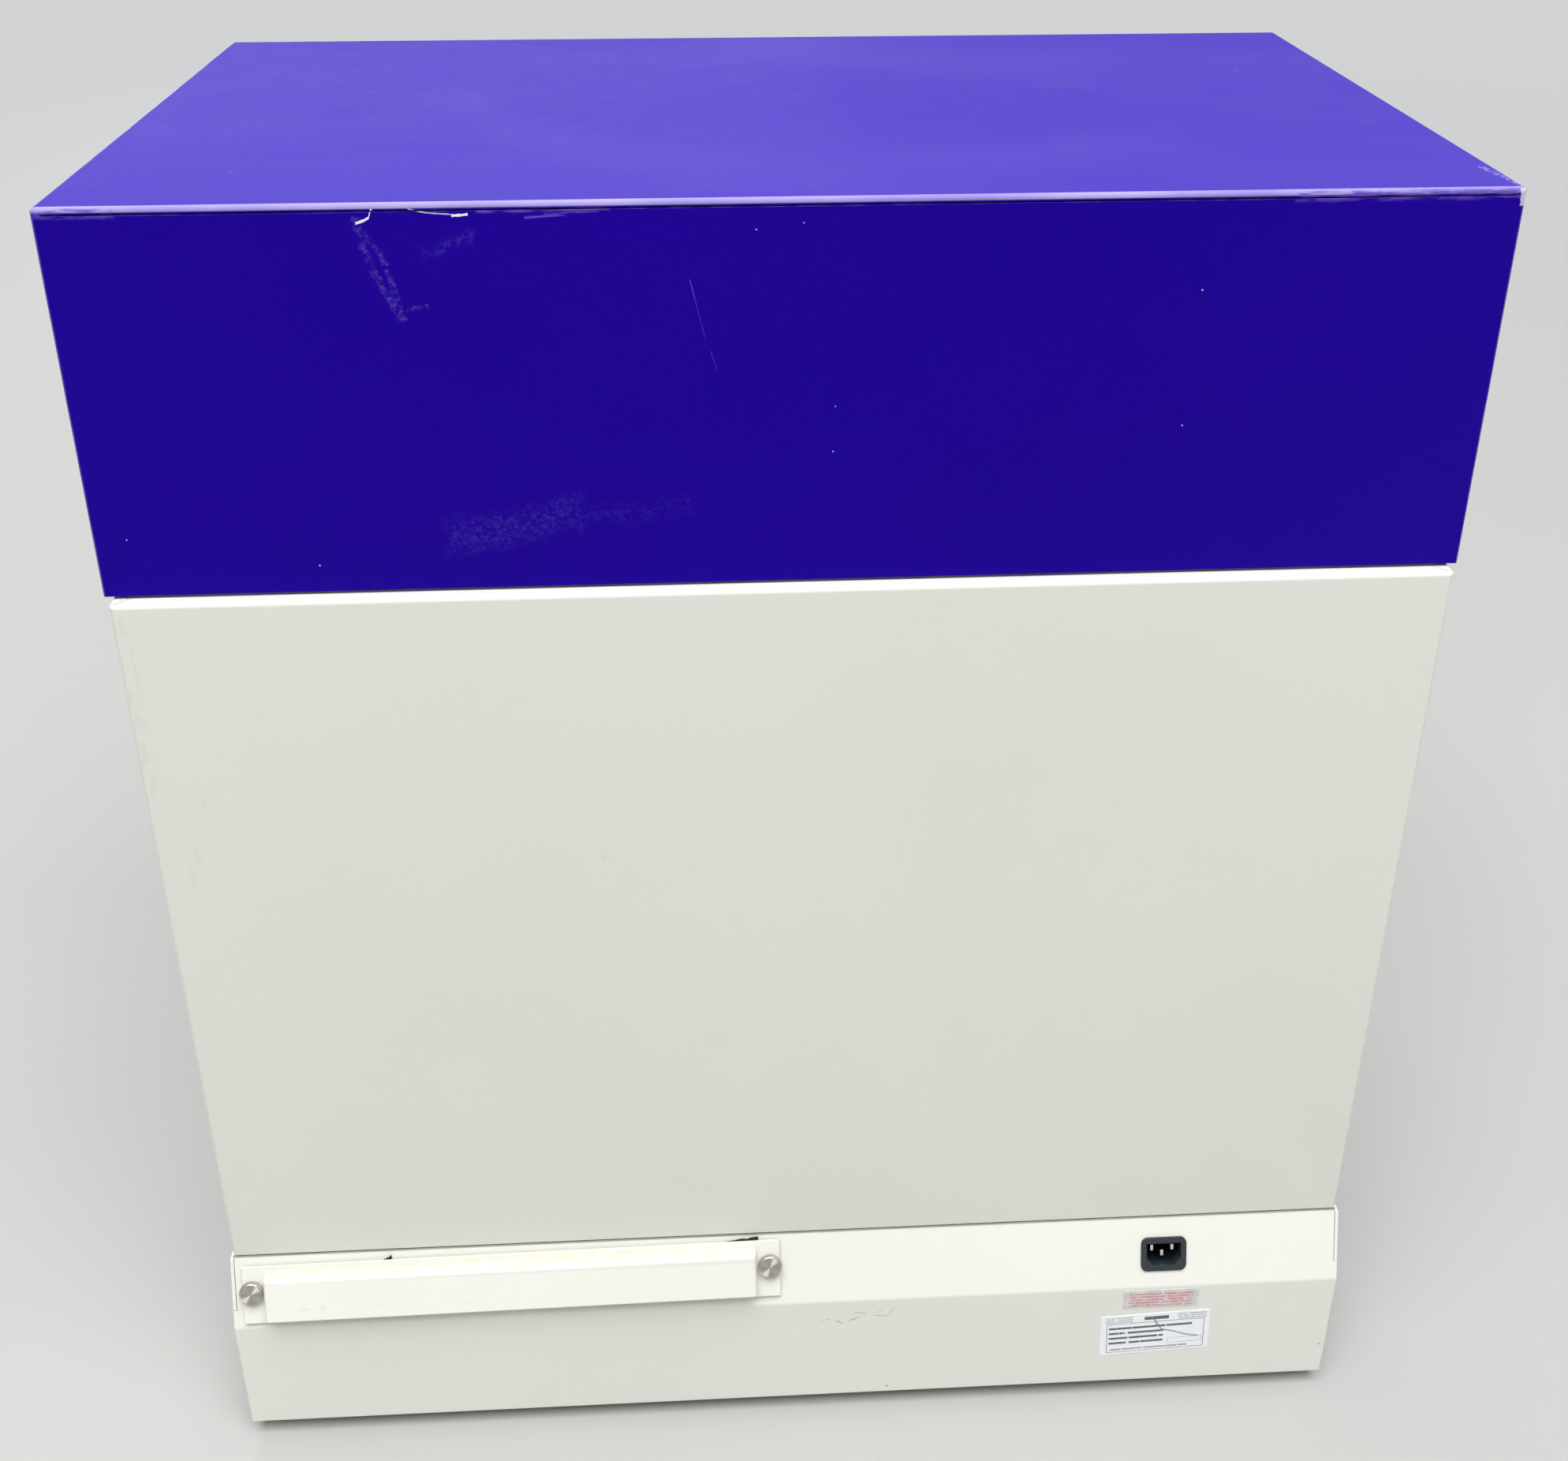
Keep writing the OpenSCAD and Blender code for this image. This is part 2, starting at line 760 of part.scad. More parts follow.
module lamp_end_caps() {
    color("silver") for (y = lamp_ys) mirrored_x()
        translate([lamp_l / 2, y, lamp_z]) rotate([0, 90, 0]) {
            cylinder(r = lamp_r, h = cap_l, $fn = fn_m);
            for (side = [-1, 1])
                translate([0, side * lamp_pin_gap, cap_l - 1])
                    cylinder(r = lamp_pin_r, h = lamp_pin_l + 1, $fn = fn_s);
        }
}

module lamp_holders() {
    color("white") for (y = lamp_ys) mirrored_x() difference() {
        union() {
            translate([holder_x, y, lamp_z]) rotate([0, 90, 0])
                cylinder(r = holder_r, h = holder_t, $fn = fn_m);
            box([holder_x, y - holder_r, lamp_z], [holder_x + holder_t, y + holder_r, hood_z - rail_h]);
        }
        for (side = [-1, 1])
            translate([holder_x - 1, y + side * lamp_pin_gap, lamp_z]) rotate([0, 90, 0])
                cylinder(r = lamp_pin_r + join, h = lamp_pin_l + 2, $fn = fn_s);
    }
}

module lamp_ballasts() {
    half = 62;
    ear = 12;
    ear_t = 1.5;
    w = 38;
    h = 28;
    x0 = clamp_x + 8;
    color("gainsboro") mirrored_x() {
        box([x0, filter_y - half, deck_top], [x0 + w, filter_y + half, deck_top + h]);
        box([x0, filter_y - half - ear, deck_top], [x0 + w, filter_y + half + ear, deck_top + ear_t]);
    }
}

// ---- Blower ----

// Scroll outline, grown by g: it widens clockwise into the outlet towards +Y
module scroll(g = 0) {
    steps = 60;
    translate([blower_x, blower_y]) polygon([for (i = [0:steps])
        let (turned = i / steps, a = 180 - 360 * turned)
        (scroll_r0 + scroll_grow * turned + g) * [cos(a), sin(a)]]);
    translate([outlet_x0 - g, blower_y]) square([outlet_x1 - outlet_x0 + 2 * g, outlet_y - blower_y]);
}

module blower_housing() {
    mouth_w = outlet_x1 - outlet_x0 - 2 * wall;
    color("dimgray") difference() {
        translate([0, 0, blower_z]) linear_extrude(blower_h) scroll();
        translate([0, 0, blower_z + wall]) linear_extrude(blower_h - 2 * wall) {
            scroll(-wall);
            translate([outlet_x0 + wall, outlet_y - cut]) square([mouth_w, 2 * cut]);
        }
        translate([blower_x, blower_y, blower_z + blower_h / 2])
            cylinder(r = eye_r + 6, h = blower_h, $fn = fn_l);
    }
}

// Flared ring in the blower's eye
module blower_inlet_ring() {
    z1 = blower_z + blower_h;
    throat = z1 - 20;
    ring_t = 1.6;
    color("gray") translate([blower_x, blower_y, 0]) rotate_extrude($fn = fn_l) polygon([
        [eye_r - 2, throat], [eye_r, throat], [eye_r, z1 - 6], [eye_r + 4, z1], [eye_r + 12, z1],
        [eye_r + 12, z1 + ring_t], [eye_r + 3, z1 + ring_t], [eye_r - 2, z1 - 5]]);
}

// Backplate with a cup over the motor, backward-curved blades and a front ring
module blower_impeller() {
    z0 = blower_z + 8;
    blade_h = 46;
    blades = 9;
    blade_r = 70;
    blade_t = 1.6;
    cup_r = motor_r + 4;
    cup_top = blower_z + wall + motor_h + 4;
    hub_r = 10;
    hub_top = cup_top + 10;
    bore_r = shaft_r + running_gap;
    color("black") translate([blower_x, blower_y, 0]) {
        rotate_extrude($fn = fn_l) polygon([
            [bore_r, cup_top], [cup_r, cup_top], [cup_r, z0], [wheel_r, z0], [wheel_r, z0 + wall],
            [cup_r + wall, z0 + wall], [cup_r + wall, cup_top + wall], [hub_r, cup_top + wall],
            [hub_r, hub_top], [bore_r, hub_top]]);
        translate([0, 0, z0 + wall]) linear_extrude(blade_h)
            for (i = [0:blades - 1]) rotate(i * 360 / blades) intersection() {
                difference() {
                    circle(wheel_r - 1, $fn = fn_l);
                    circle(cup_r + wall + 4, $fn = fn_l);
                }
                translate([wheel_r - 22, 4 - blade_r]) difference() {
                    circle(blade_r, $fn = fn_l);
                    circle(blade_r - blade_t, $fn = fn_l);
                    translate([-2 * blade_r, -blade_r]) square([4 * blade_r, blade_r]);
                }
            }
        translate([0, 0, z0 + wall + blade_h]) rotate_extrude($fn = fn_l)
            translate([eye_r + 2, 0]) square([wheel_r - eye_r - 2, wall]);
    }
}

module blower_motor() {
    flange = 10;
    color("silver") translate([blower_x, blower_y, blower_z + wall]) {
        cylinder(r = motor_r + flange, h = 3, $fn = fn_l);
        cylinder(r = motor_r, h = motor_h, $fn = fn_l);
        cylinder(r = shaft_r, h = motor_h + 13, $fn = fn_m);
    }
}

// Rubber posts under the blower
module blower_mounts() {
    z0 = foot_h + sheet_t;
    places = [[-90, -50], [70, -60], [-100, 90], [50, 60]];
    color("black") for (p = places)
        translate([blower_x + p.x, blower_y + p.y, z0]) cylinder(r = 9, h = blower_z - z0, $fn = fn_m);
}

// Elbow from the blower's outlet up into the duct
module riser_boot() {
    y0 = outlet_y + 0.5;
    yf = duct_front + 0.5;
    y1 = duct_rear - 0.5;
    z1 = blower_z + blower_h;
    top = top_z - sheet_t;
    x0 = outlet_x0 + wall;
    x1 = outlet_x1 - wall;
    color("gainsboro") difference() {
        union() {
            box([outlet_x0, y0, blower_z], [outlet_x1, y1, z1]);
            box([outlet_x0, yf, z1 - 1], [outlet_x1, y1, top]);
        }
        box([x0, y0 - cut, blower_z + wall], [x1, y1 - wall, z1 - wall]);
        box([x0, yf + wall, z1 - wall - 1], [x1, y1 - wall, top + cut]);
    }
}

// ---- Rear fittings ----

// Flange with a raised hood, open at the hood's lower side and towards the foam
module prefilter_cover() {
    r = 2.5;
    color("ivory") on_cover() difference() {
        union() {
            translate([0, 0, cover_w0 + cover_t / 2]) cube([cover_w, cover_h, cover_t], center = true);
            intersection() {
                along_y(scoop_s0, scoop_s1)
                    translate([0, cover_w0]) arch_rect(scoop_w, scoop_top - cover_w0, r);
                along_x(-scoop_w / 2, scoop_w / 2) polygon(concat(
                    bend([scoop_s1, scoop_top], [scoop_s0, scoop_top], [scoop_s0, cover_w0], r),
                    [[scoop_s1, cover_w0]]));
            }
        }
        box([cover_t - scoop_w / 2, scoop_s0 + cover_t, cover_w1],
            [scoop_w / 2 - cover_t, scoop_s1 + cut, scoop_top - cover_t]);
        box([-intake_w / 2, intake_s0, cover_w0 - cut], [intake_w / 2, intake_s1, cover_w1 + 1]);
        for (side = [-1, 1])
            translate([side * screw_pitch / 2, screw_s, 0])
                cylinder(r = screw_shank_r + fit, h = cut, $fn = fn_s);
    }
}

module prefilter_gasket() {
    m = 1.2;
    color("black") on_cover() difference() {
        box([m - cover_w / 2, m - cover_h / 2, hair], [cover_w / 2 - m, cover_h / 2 - m, cover_gasket_t]);
        box([-intake_w / 2 - 1, intake_s0 - 1, -cut], [intake_w / 2 + 1, intake_s1 + 1, cut]);
        for (side = [-1, 1])
            translate([side * screw_pitch / 2, screw_s, -cut])
                cylinder(r = screw_shank_r + 2 * fit, h = 2 * cut, $fn = fn_s);
    }
}

module prefilter_foam() {
    m = 2;
    depth = 12;
    color("dimgray") on_cover()
        box([m - intake_w / 2, intake_s0 + m, -depth], [intake_w / 2 - m, intake_s1 - m, cover_w0 - fit]);
}

// Captive knurled screw, its axis along the outward normal of the slope
module thumb_screw(side) {
    teeth = 40;
    steps = 4 * teeth;
    knurl = 0.22;
    face_r = screw_head_r - 0.5;
    chamfer = 0.6;
    knurl_h = screw_head_h - chamfer;
    collar_r = 4;
    collar_w = cover_w1 + join;
    head_top = screw_head_w + screw_head_h;
    color("silver") on_cover() translate([side * screw_pitch / 2, screw_s, 0]) {
        translate([0, 0, screw_head_w]) linear_extrude(knurl_h) polygon([for (i = [0:steps - 1])
            (screw_head_r - knurl + knurl * cos(i * 360 * teeth / steps))
                * [cos(i * 360 / steps), sin(i * 360 / steps)]]);
        rotate_extrude($fn = fn_l) polygon([
            [0, -screw_tip], [screw_shank_r - 0.5, -screw_tip], [screw_shank_r, 1 - screw_tip],
            [screw_shank_r, collar_w], [collar_r, collar_w], [collar_r, screw_head_w],
            [face_r - chamfer, screw_head_w], [face_r, screw_head_w + knurl_h],
            [face_r - chamfer, head_top], [0, head_top]]);
    }
}

module thumb_screw_left() {
    thumb_screw(-1);
}

module thumb_screw_right() {
    thumb_screw(1);
}

// Outline of the plug recess, with the two chamfered corners at the lower side
module plug_outline() {
    w = 23.5;
    h = 16;
    c = 5;
    polygon([[-w / 2, -h / 2], [w / 2, -h / 2], [w / 2, h / 2 - c], [w / 2 - c, h / 2],
        [c - w / 2, h / 2], [-w / 2, h / 2 - c]]);
}

module power_inlet() {
    lip_r = 4.5;
    floor_t = 2;
    pin = [2, 4, 18];
    places = [[-7, -2], [7, -2], [0, 2]];
    color("black") on_rear_slope(inlet_x, inlet_s) {
        difference() {
            union() {
                linear_extrude(inlet_lip) round_rect(inlet_w, inlet_h, lip_r);
                translate([-inlet_body_w / 2, -inlet_body_h / 2, -inlet_depth])
                    cube([inlet_body_w, inlet_body_h, inlet_depth + join]);
            }
            translate([0, 0, floor_t - inlet_depth]) linear_extrude(inlet_depth + inlet_lip) plug_outline();
        }
        for (p = places)
            translate([p.x, p.y, floor_t - join - inlet_depth + pin.z / 2]) cube(pin, center = true);
    }
}

// Rating label, and a smaller label above it
module rear_labels() {
    color("white") {
        on_rear_wall(-250.3, 60.8) rotate(2.75) linear_extrude(0.25) round_rect(76, 38, 1.5);
        on_rear_wall(-251.7, 93.8) linear_extrude(0.2) round_rect(52, 17, 1);
    }
}

// ---- Controls ----

module control_overlay() {
    color("lightsteelblue") on_front_slope(panel_x, panel_s) linear_extrude(overlay_t) difference() {
        round_rect(panel_w, panel_h, 5);
        for (x = [light_x, uv_x])
            translate([x - panel_x, 0]) square([bezel_w + 1, bezel_h + 1], center = true);
        for (x = [timer_x, speed_x])
            translate([x - panel_x, 0]) circle(8, $fn = fn_m);
    }
}

// Frame and box of a rocker switch, with a through pocket down to its floor
module switch_bezel() {
    depth = 18;
    floor_t = 2;
    rim = 1.3;
    play = 0.4;
    body = [bezel_w / 2 - rim, bezel_h / 2 - rim, 0];
    pocket = [rocker_w / 2 + play, rocker_r + play, 0];
    difference() {
        union() {
            linear_extrude(bezel_t) round_rect(bezel_w, bezel_h, 1.5);
            box([-body.x, -body.y, -depth], [body.x, body.y, join]);
        }
        box([-pocket.x, -pocket.y, floor_t - depth], [pocket.x, pocket.y, cut]);
        translate([0, 0, rocker_axis]) rotate([0, 90, 0])
            cylinder(r = rocker_pin_r + running_gap, h = rocker_w + 4, center = true, $fn = fn_s);
    }
}

module switch_bezels() {
    color("black") for (x = [light_x, uv_x]) on_front_slope(x, panel_s) switch_bezel();
}

// Rocker with a hollow-topped face, tipped so that its lower half is pressed in
module rocker(x) {
    rise = 4.6;
    lift = rocker_r * tan(rocker_tilt);
    foot = 5;
    on_front_slope(x, panel_s) translate([0, 0, rocker_axis]) rotate([rocker_tilt, 0, 0]) {
        intersection() {
            along_x(-rocker_w / 2, rocker_w / 2) polygon([
                [-rocker_r, rise + lift], [0, rise], [rocker_r, rise + lift], [rocker_r, -2],
                [foot, -foot], [-foot, -foot], [-rocker_r, -2]]);
            rotate([0, 90, 0]) cylinder(r = rocker_r, h = 2 * rocker_w, center = true, $fn = fn_l);
        }
        rotate([0, 90, 0]) cylinder(r = rocker_pin_r, h = rocker_w + 3.4, center = true, $fn = fn_s);
    }
}

module light_switch() {
    color("gray") rocker(light_x);
}

module uv_switch() {
    color("royalblue") rocker(uv_x);
}

// Control with a threaded bush through the panel, and a bore for its spindle
module rotary_body(size, depth) {
    nut_t = 2.4;
    bush_h = 5;
    difference() {
        union() {
            translate([-size / 2, -size / 2, -depth - sheet_t - join]) cube([size, size, depth]);
            translate([0, 0, -sheet_t - 1]) cylinder(r = bush_r, h = sheet_t + bush_h, $fn = fn_m);
            translate([0, 0, overlay_t]) cylinder(r = 6.6, h = nut_t, $fn = 6);
        }
        translate([0, 0, -12]) cylinder(r = spindle_r + running_gap, h = 30, $fn = fn_m);
    }
}

// Knob with a spindle, a skirt over the bush, a raised rim and a pointer notch
module rotary_knob(r, h) {
    skirt_z = overlay_t + 0.7;
    skirt_t = 3;
    grip_z = skirt_z + skirt_t;
    rim_t = 2.4;
    rim_h = 6;
    nut_room = [8, 5.5];
    notch = [1.6, 7, 2];
    difference() {
        union() {
            translate([0, 0, skirt_z]) cylinder(r = r, h = skirt_t, $fn = fn_l);
            translate([0, 0, grip_z]) cylinder(r1 = r - 2, r2 = r - 3.5, h = h - grip_z, $fn = fn_l);
            translate([0, 0, h - rim_h]) linear_extrude(rim_h) difference() {
                circle(r - knob_rim, $fn = fn_m);
                circle(r - knob_rim - rim_t, $fn = fn_m);
            }
        }
        translate([0, 0, -1]) cylinder(r = nut_room.x, h = 1 + nut_room.y, $fn = fn_m);
        translate([0, r - 4.6, h - 0.8]) cube(notch, center = true);
    }
    translate([0, 0, -9]) cylinder(r = spindle_r, h = 17, $fn = fn_m);
}

module timer_body() {
    color("gray") on_front_slope(timer_x, panel_s) rotary_body(38, 24);
}

module speed_control() {
    color("gray") on_front_slope(speed_x, panel_s) rotary_body(20, 12);
}

// Knobs at their zero mark, at the lower left of the dial
module timer_knob() {
    color("black") on_front_slope(timer_x, panel_s)
        rotate(knob_zero_a) rotary_knob(timer_knob_r, timer_knob_h);
}

module speed_knob() {
    color("black") on_front_slope(speed_x, panel_s)
        rotate(knob_zero_a) rotary_knob(speed_knob_r, speed_knob_h);
}

// ---- Door ----

module door_header() {
    color("whitesmoke") on_door() box([-door_half, -header_h, 0], [door_half, header_s, pane_w1]);
}

// Window pane with round corners between two heights of the door plane
module pane(s0, s1) {
    translate([0, (s0 + s1) / 2, door_gap])
        linear_extrude(pane_t) round_rect(2 * door_half, s1 - s0, pane_r);
}

module door_upper_pane() {
    color("lightblue", 0.4) on_door() pane(upper_top_s - upper_leaf, upper_top_s);
}

module door_lower_pane() {
    color("lightblue", 0.4) on_door() pane(lower_bottom_s, lower_top_s);
}

// Hinge leaf on the outer face of the door, above (side 1) or below (side -1) its pin;
// the middle leaf carries one knuckle, the other leaf two
module hinge_leaf(axis_s, side, middle) {
    clear = knuckle_r + 0.5;
    knuckles = middle ? [0] : [-1, 1];
    half = 1.5 * knuckle_l;
    len_x = knuckle_l - knuckle_gap;
    leaf_s0 = side > 0 ? clear : clear - leaf_l;
    leaf_s1 = side > 0 ? leaf_l : -clear;
    tab_s0 = side > 0 ? 0 : -clear - 1;
    for (hx = [-hinge_x, hinge_x]) translate([hx, axis_s, 0]) difference() {
        union() {
            box([-half, leaf_s0, pane_w1], [half, leaf_s1, pane_w1 + leaf_t]);
            for (i = knuckles) translate([i * knuckle_l, 0, 0]) {
                translate([0, 0, axis_w]) rotate([0, 90, 0])
                    cylinder(r = knuckle_r, h = len_x, center = true, $fn = fn_m);
                translate([-len_x / 2, tab_s0, pane_w1]) cube([len_x, clear + 1, leaf_t]);
            }
        }
        translate([0, 0, axis_w]) rotate([0, 90, 0])
            cylinder(r = pin_r + running_gap, h = 4 * half, center = true, $fn = fn_s);
    }
}

module hinge_pins(axis_s) {
    for (hx = [-hinge_x, hinge_x]) translate([hx, axis_s, axis_w]) rotate([0, 90, 0])
        cylinder(r = pin_r, h = 3 * knuckle_l - 1, center = true, $fn = fn_s);
}

module header_hinge_leaves() {
    color("silver") on_door() hinge_leaf(upper_axis_s, 1, false);
}

module header_hinge_pins() {
    color("silver") on_door() hinge_pins(upper_axis_s);
}

module upper_pane_hinge_leaves() {
    color("silver") on_door() {
        hinge_leaf(upper_axis_s, -1, true);
        hinge_leaf(fold_axis_s, 1, false);
    }
}

module fold_hinge_pins() {
    color("silver") on_door() hinge_pins(fold_axis_s);
}

module lower_pane_hinge_leaves() {
    color("silver") on_door() hinge_leaf(fold_axis_s, -1, true);
}

// Round bar on two posts
module door_handle() {
    post_r = 5;
    post_x = handle_half - 12;
    color("silver") on_door(handle_s) {
        for (x = [-post_x, post_x])
            translate([x, 0, pane_w1]) cylinder(r = post_r, h = handle_out, $fn = fn_m);
        translate([0, 0, pane_w1 + handle_out]) rotate([0, 90, 0])
            cylinder(r = handle_r, h = 2 * handle_half, center = true, $fn = fn_m);
    }
}

module interlock_switch() {
    color("black") translate([plunger_x, 0, 0]) on_door(plunger_s) box(switch_lo, switch_hi);
}

module interlock_plunger() {
    length = 10;
    color("white") translate([plunger_x, 0, 0]) on_door(plunger_s) translate([0, 0, -length])
        cylinder(r = plunger_r, h = length + door_gap - join, $fn = fn_m);
}

base_floor();
base_shell();
base_rear_cover();
base_front_cover();
rubber_feet();
foot_screws();
work_surface();
rear_panel();
rear_liner();
side_frame_left();
side_frame_right();
side_windows();
window_gaskets();
hood_shell();
hood_lid();
hood_gasket();
filter_deck();
hepa_frame();
hepa_media();
hepa_gasket();
filter_clamps();
diffuser_grille();
lamp_reflectors();
uv_tubes();
white_tube();
lamp_end_caps();
lamp_holders();
lamp_ballasts();
blower_housing();
blower_inlet_ring();
blower_impeller();
blower_motor();
blower_mounts();
riser_boot();
prefilter_cover();
prefilter_foam();
prefilter_gasket();
thumb_screw_left();
thumb_screw_right();
power_inlet();
control_overlay();
switch_bezels();
light_switch();
uv_switch();
timer_body();
timer_knob();
speed_control();
speed_knob();
door_header();
header_hinge_leaves();
header_hinge_pins();
door_upper_pane();
upper_pane_hinge_leaves();
fold_hinge_pins();
door_lower_pane();
lower_pane_hinge_leaves();
door_handle();
interlock_switch();
interlock_plunger();
rear_labels();
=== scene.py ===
"""Looks of the clean-air cabinet: finishes, small hardware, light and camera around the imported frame."""

import json
import math
import random

import bmesh
import bpy
from mathutils import Matrix, Vector


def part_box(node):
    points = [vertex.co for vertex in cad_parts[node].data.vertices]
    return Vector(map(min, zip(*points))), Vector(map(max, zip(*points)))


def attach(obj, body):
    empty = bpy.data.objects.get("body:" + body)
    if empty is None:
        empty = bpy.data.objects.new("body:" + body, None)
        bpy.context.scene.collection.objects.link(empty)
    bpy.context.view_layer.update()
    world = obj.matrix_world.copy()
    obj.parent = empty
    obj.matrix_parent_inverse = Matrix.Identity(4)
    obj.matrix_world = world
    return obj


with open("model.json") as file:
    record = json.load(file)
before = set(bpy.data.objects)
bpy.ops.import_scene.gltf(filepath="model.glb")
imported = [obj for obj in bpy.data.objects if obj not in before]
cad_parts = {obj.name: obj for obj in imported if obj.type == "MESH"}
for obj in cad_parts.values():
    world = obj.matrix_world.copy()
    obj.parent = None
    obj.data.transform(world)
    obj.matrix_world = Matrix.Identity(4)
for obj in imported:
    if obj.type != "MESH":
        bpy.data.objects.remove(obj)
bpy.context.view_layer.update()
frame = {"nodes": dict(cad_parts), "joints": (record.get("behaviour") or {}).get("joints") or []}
NODES = frame["nodes"]
MM = 0.001
X, Y, Z = Vector((1, 0, 0)), Vector((0, 1, 0)), Vector((0, 0, 1))

# ---------------------------------------------------------------- places, from the frame


def joint(name):
    """Pivot and axis of a joint, in metres in the row frame."""
    found = next(j for j in frame["joints"] if j["name"] == name)
    return Vector(found.get("pos_m", (0, 0, 0))), Vector(found["axis"]).normalized()


def middle(node):
    """Centre of a CAD node's box."""
    lo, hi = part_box(node)
    return (lo + hi) / 2


def reach(node, way):
    """How far a CAD node reaches along a direction."""
    return max(v.co.dot(way) for v in NODES[node].data.vertices)


def centre_along(node, way):
    """Middle of a CAD node's reach along a direction."""
    return (reach(node, way) - reach(node, -way)) / 2


def plane(origin, right, up):
    """Function that turns two lengths in mm, along right and up, and a height in mm into a place."""
    out = right.cross(up)

    def place(a, b, height=0.0):
        return origin + (right * a + up * b + out * height) * MM
    return place


lid_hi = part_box("hood_lid")[1]
hood_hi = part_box("hood_shell")[1]
panel_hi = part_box("rear_panel")[1]
cover_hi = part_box("base_rear_cover")[1]

SLOPE_N = joint("intake_cover_off")[1]
SLOPE_DOWN = Vector((0, SLOPE_N.z, -SLOPE_N.y))
FRONT_N = -joint("timer_turn")[1]
FRONT_UP = FRONT_N.cross(X)
UPPER_PIN = joint("upper_door_hinge")[0]
LOWER_PIN = joint("lower_door_hinge")[0]
DOOR_UP = (UPPER_PIN - LOWER_PIN).normalized()
DOOR_N = X.cross(DOOR_UP)

# Each face's first length runs along X. The second runs down from the hood's top edge, from front to
# rear on the top, down from the panel's top edge, up from the floor, or down from the seam.
hood_rear = plane(Vector((0, hood_hi.y, lid_hi.z)), X, -Z)
hood_top = plane(Vector((0, 0, lid_hi.z)), X, Y)
panel_face = plane(Vector((0, panel_hi.y, panel_hi.z)), X, -Z)
base_wall = plane(Vector((0, cover_hi.y, 0)), X, Z)
rear_slope = plane(Vector((0, panel_hi.y, cover_hi.z)), X, SLOPE_DOWN)

# Places in mm that the frame doesn't state. The rating label: x and height of its centre, and its turn
# in degrees. The notice above it: its centre, and how tall it is. The inlet's pins: x and distance down
# from its centre, their size, and the depths of their tips and roots. The hinges and their screws: x,
# distance from the pin, and thickness of a leaf.
LABEL_AT, LABEL_TILT = (-250.3, 60.8), 2.75
NOTICE_AT, NOTICE_H = (-251.7, 93.8), 17
PINS, PIN_SIZE, PIN_TIP, PIN_ROOT = ((-7, -2), (7, -2), (0, 2)), (2.2, 4.2), -3.0, -21.8
HINGE_X, SCREW_X, SCREW_ROW, LEAF = 240, 20, 13, 1.5
# Zero mark of both dials, in degrees clockwise from the top, the pitch of their marks, and the radius of
# the ring of marks round each dial in mm
DIAL_ZERO, DIAL_STEP = -150, 30
DIAL_RINGS = {"timer_turn": 19.5, "speed_turn": 14.0}
SWITCH_X = [joint(name)[0].x / MM for name in ("light_switch_rock", "uv_switch_rock")]

# ---------------------------------------------------------------- node materials


# Where a Mix node keeps its two inputs and its output, for numbers and for colours
MIX_SOCKETS = {"FLOAT": (2, 3, 0), "RGBA": (6, 7, 2)}


class Nodes:
    """Small builder for a node tree; most of its methods return an output socket."""

    def __init__(self, tree):
        self.tree = tree

    def node(self, kind, **props):
        made = self.tree.nodes.new(kind)
        for key, value in props.items():
            setattr(made, key, value)
        return made

    def put(self, value, socket):
        """Feeds a socket from another socket or with a constant."""
        if isinstance(value, bpy.types.NodeSocket):
            self.tree.links.new(value, socket)
        elif value is not None:
            if socket.type == "RGBA" and len(value) == 3:
                value = (*value, 1.0)
            socket.default_value = value

    def math(self, op, a, b=None, c=None, clamp=False):
        made = self.node("ShaderNodeMath", operation=op, use_clamp=clamp)
        for value, socket in zip((a, b, c), made.inputs):
            self.put(value, socket)
        return made.outputs[0]

    def vec(self, op, a, b=None, scale=None):
        made = self.node("ShaderNodeVectorMath", operation=op)
        self.put(a, made.inputs[0])
        self.put(b, made.inputs[1])
        if scale is not None:
            self.put(scale, made.inputs["Scale"])
        return made.outputs["Value" if op in ("LENGTH", "DOT_PRODUCT", "DISTANCE") else "Vector"]

    def product(self, first, *others):
        for other in others:
            first = self.math("MULTIPLY", first, other)
        return first

    def most(self, first, *others):
        for other in others:
            first = self.math("MAXIMUM", first, other)
        return first

    def joined(self, u, v, w=0.0):
        made = self.node("ShaderNodeCombineXYZ")
        for value, socket in zip((u, v, w), made.inputs):
            self.put(value, socket)
        return made.outputs[0]

    def part(self, vector, axis):
        """One part of a vector, X, Y or Z."""
        split = self.node("ShaderNodeSeparateXYZ")
        self.put(vector, split.inputs[0])
        return split.outputs[axis]

    def ramp(self, value, lo, hi, out_lo=0.0, out_hi=1.0, shape="SMOOTHSTEP"):
        """Step of value from lo to hi, smooth unless shape says LINEAR; lo may be above hi."""
        made = self.node("ShaderNodeMapRange", interpolation_type=shape)
        for socket, v in zip(made.inputs, (value, lo, hi, out_lo, out_hi)):
            self.put(v, socket)
        return made.outputs[0]

    def mix(self, share, a, b, kind="RGBA"):
        """Mixes two colours, or two numbers where kind says FLOAT."""
        made = self.node("ShaderNodeMix", data_type=kind)
        first, second, out = MIX_SOCKETS[kind]
        self.put(share, made.inputs[0])
        self.put(a, made.inputs[first])
        self.put(b, made.inputs[second])
        return made.outputs[out]

    def blend(self, share, a, b):
        """Mixes two shaders."""
        made = self.node("ShaderNodeMixShader")
        for value, socket in zip((share, a, b), made.inputs):
            self.put(value, socket)
        return made.outputs[0]

    def plain_sight(self):
        """1 for the camera's own rays, also behind glass, and 0 for the ones that light the scene."""
        path = self.node("ShaderNodeLightPath").outputs
        return self.most(path["Is Camera Ray"], path["Is Transmission Ray"])


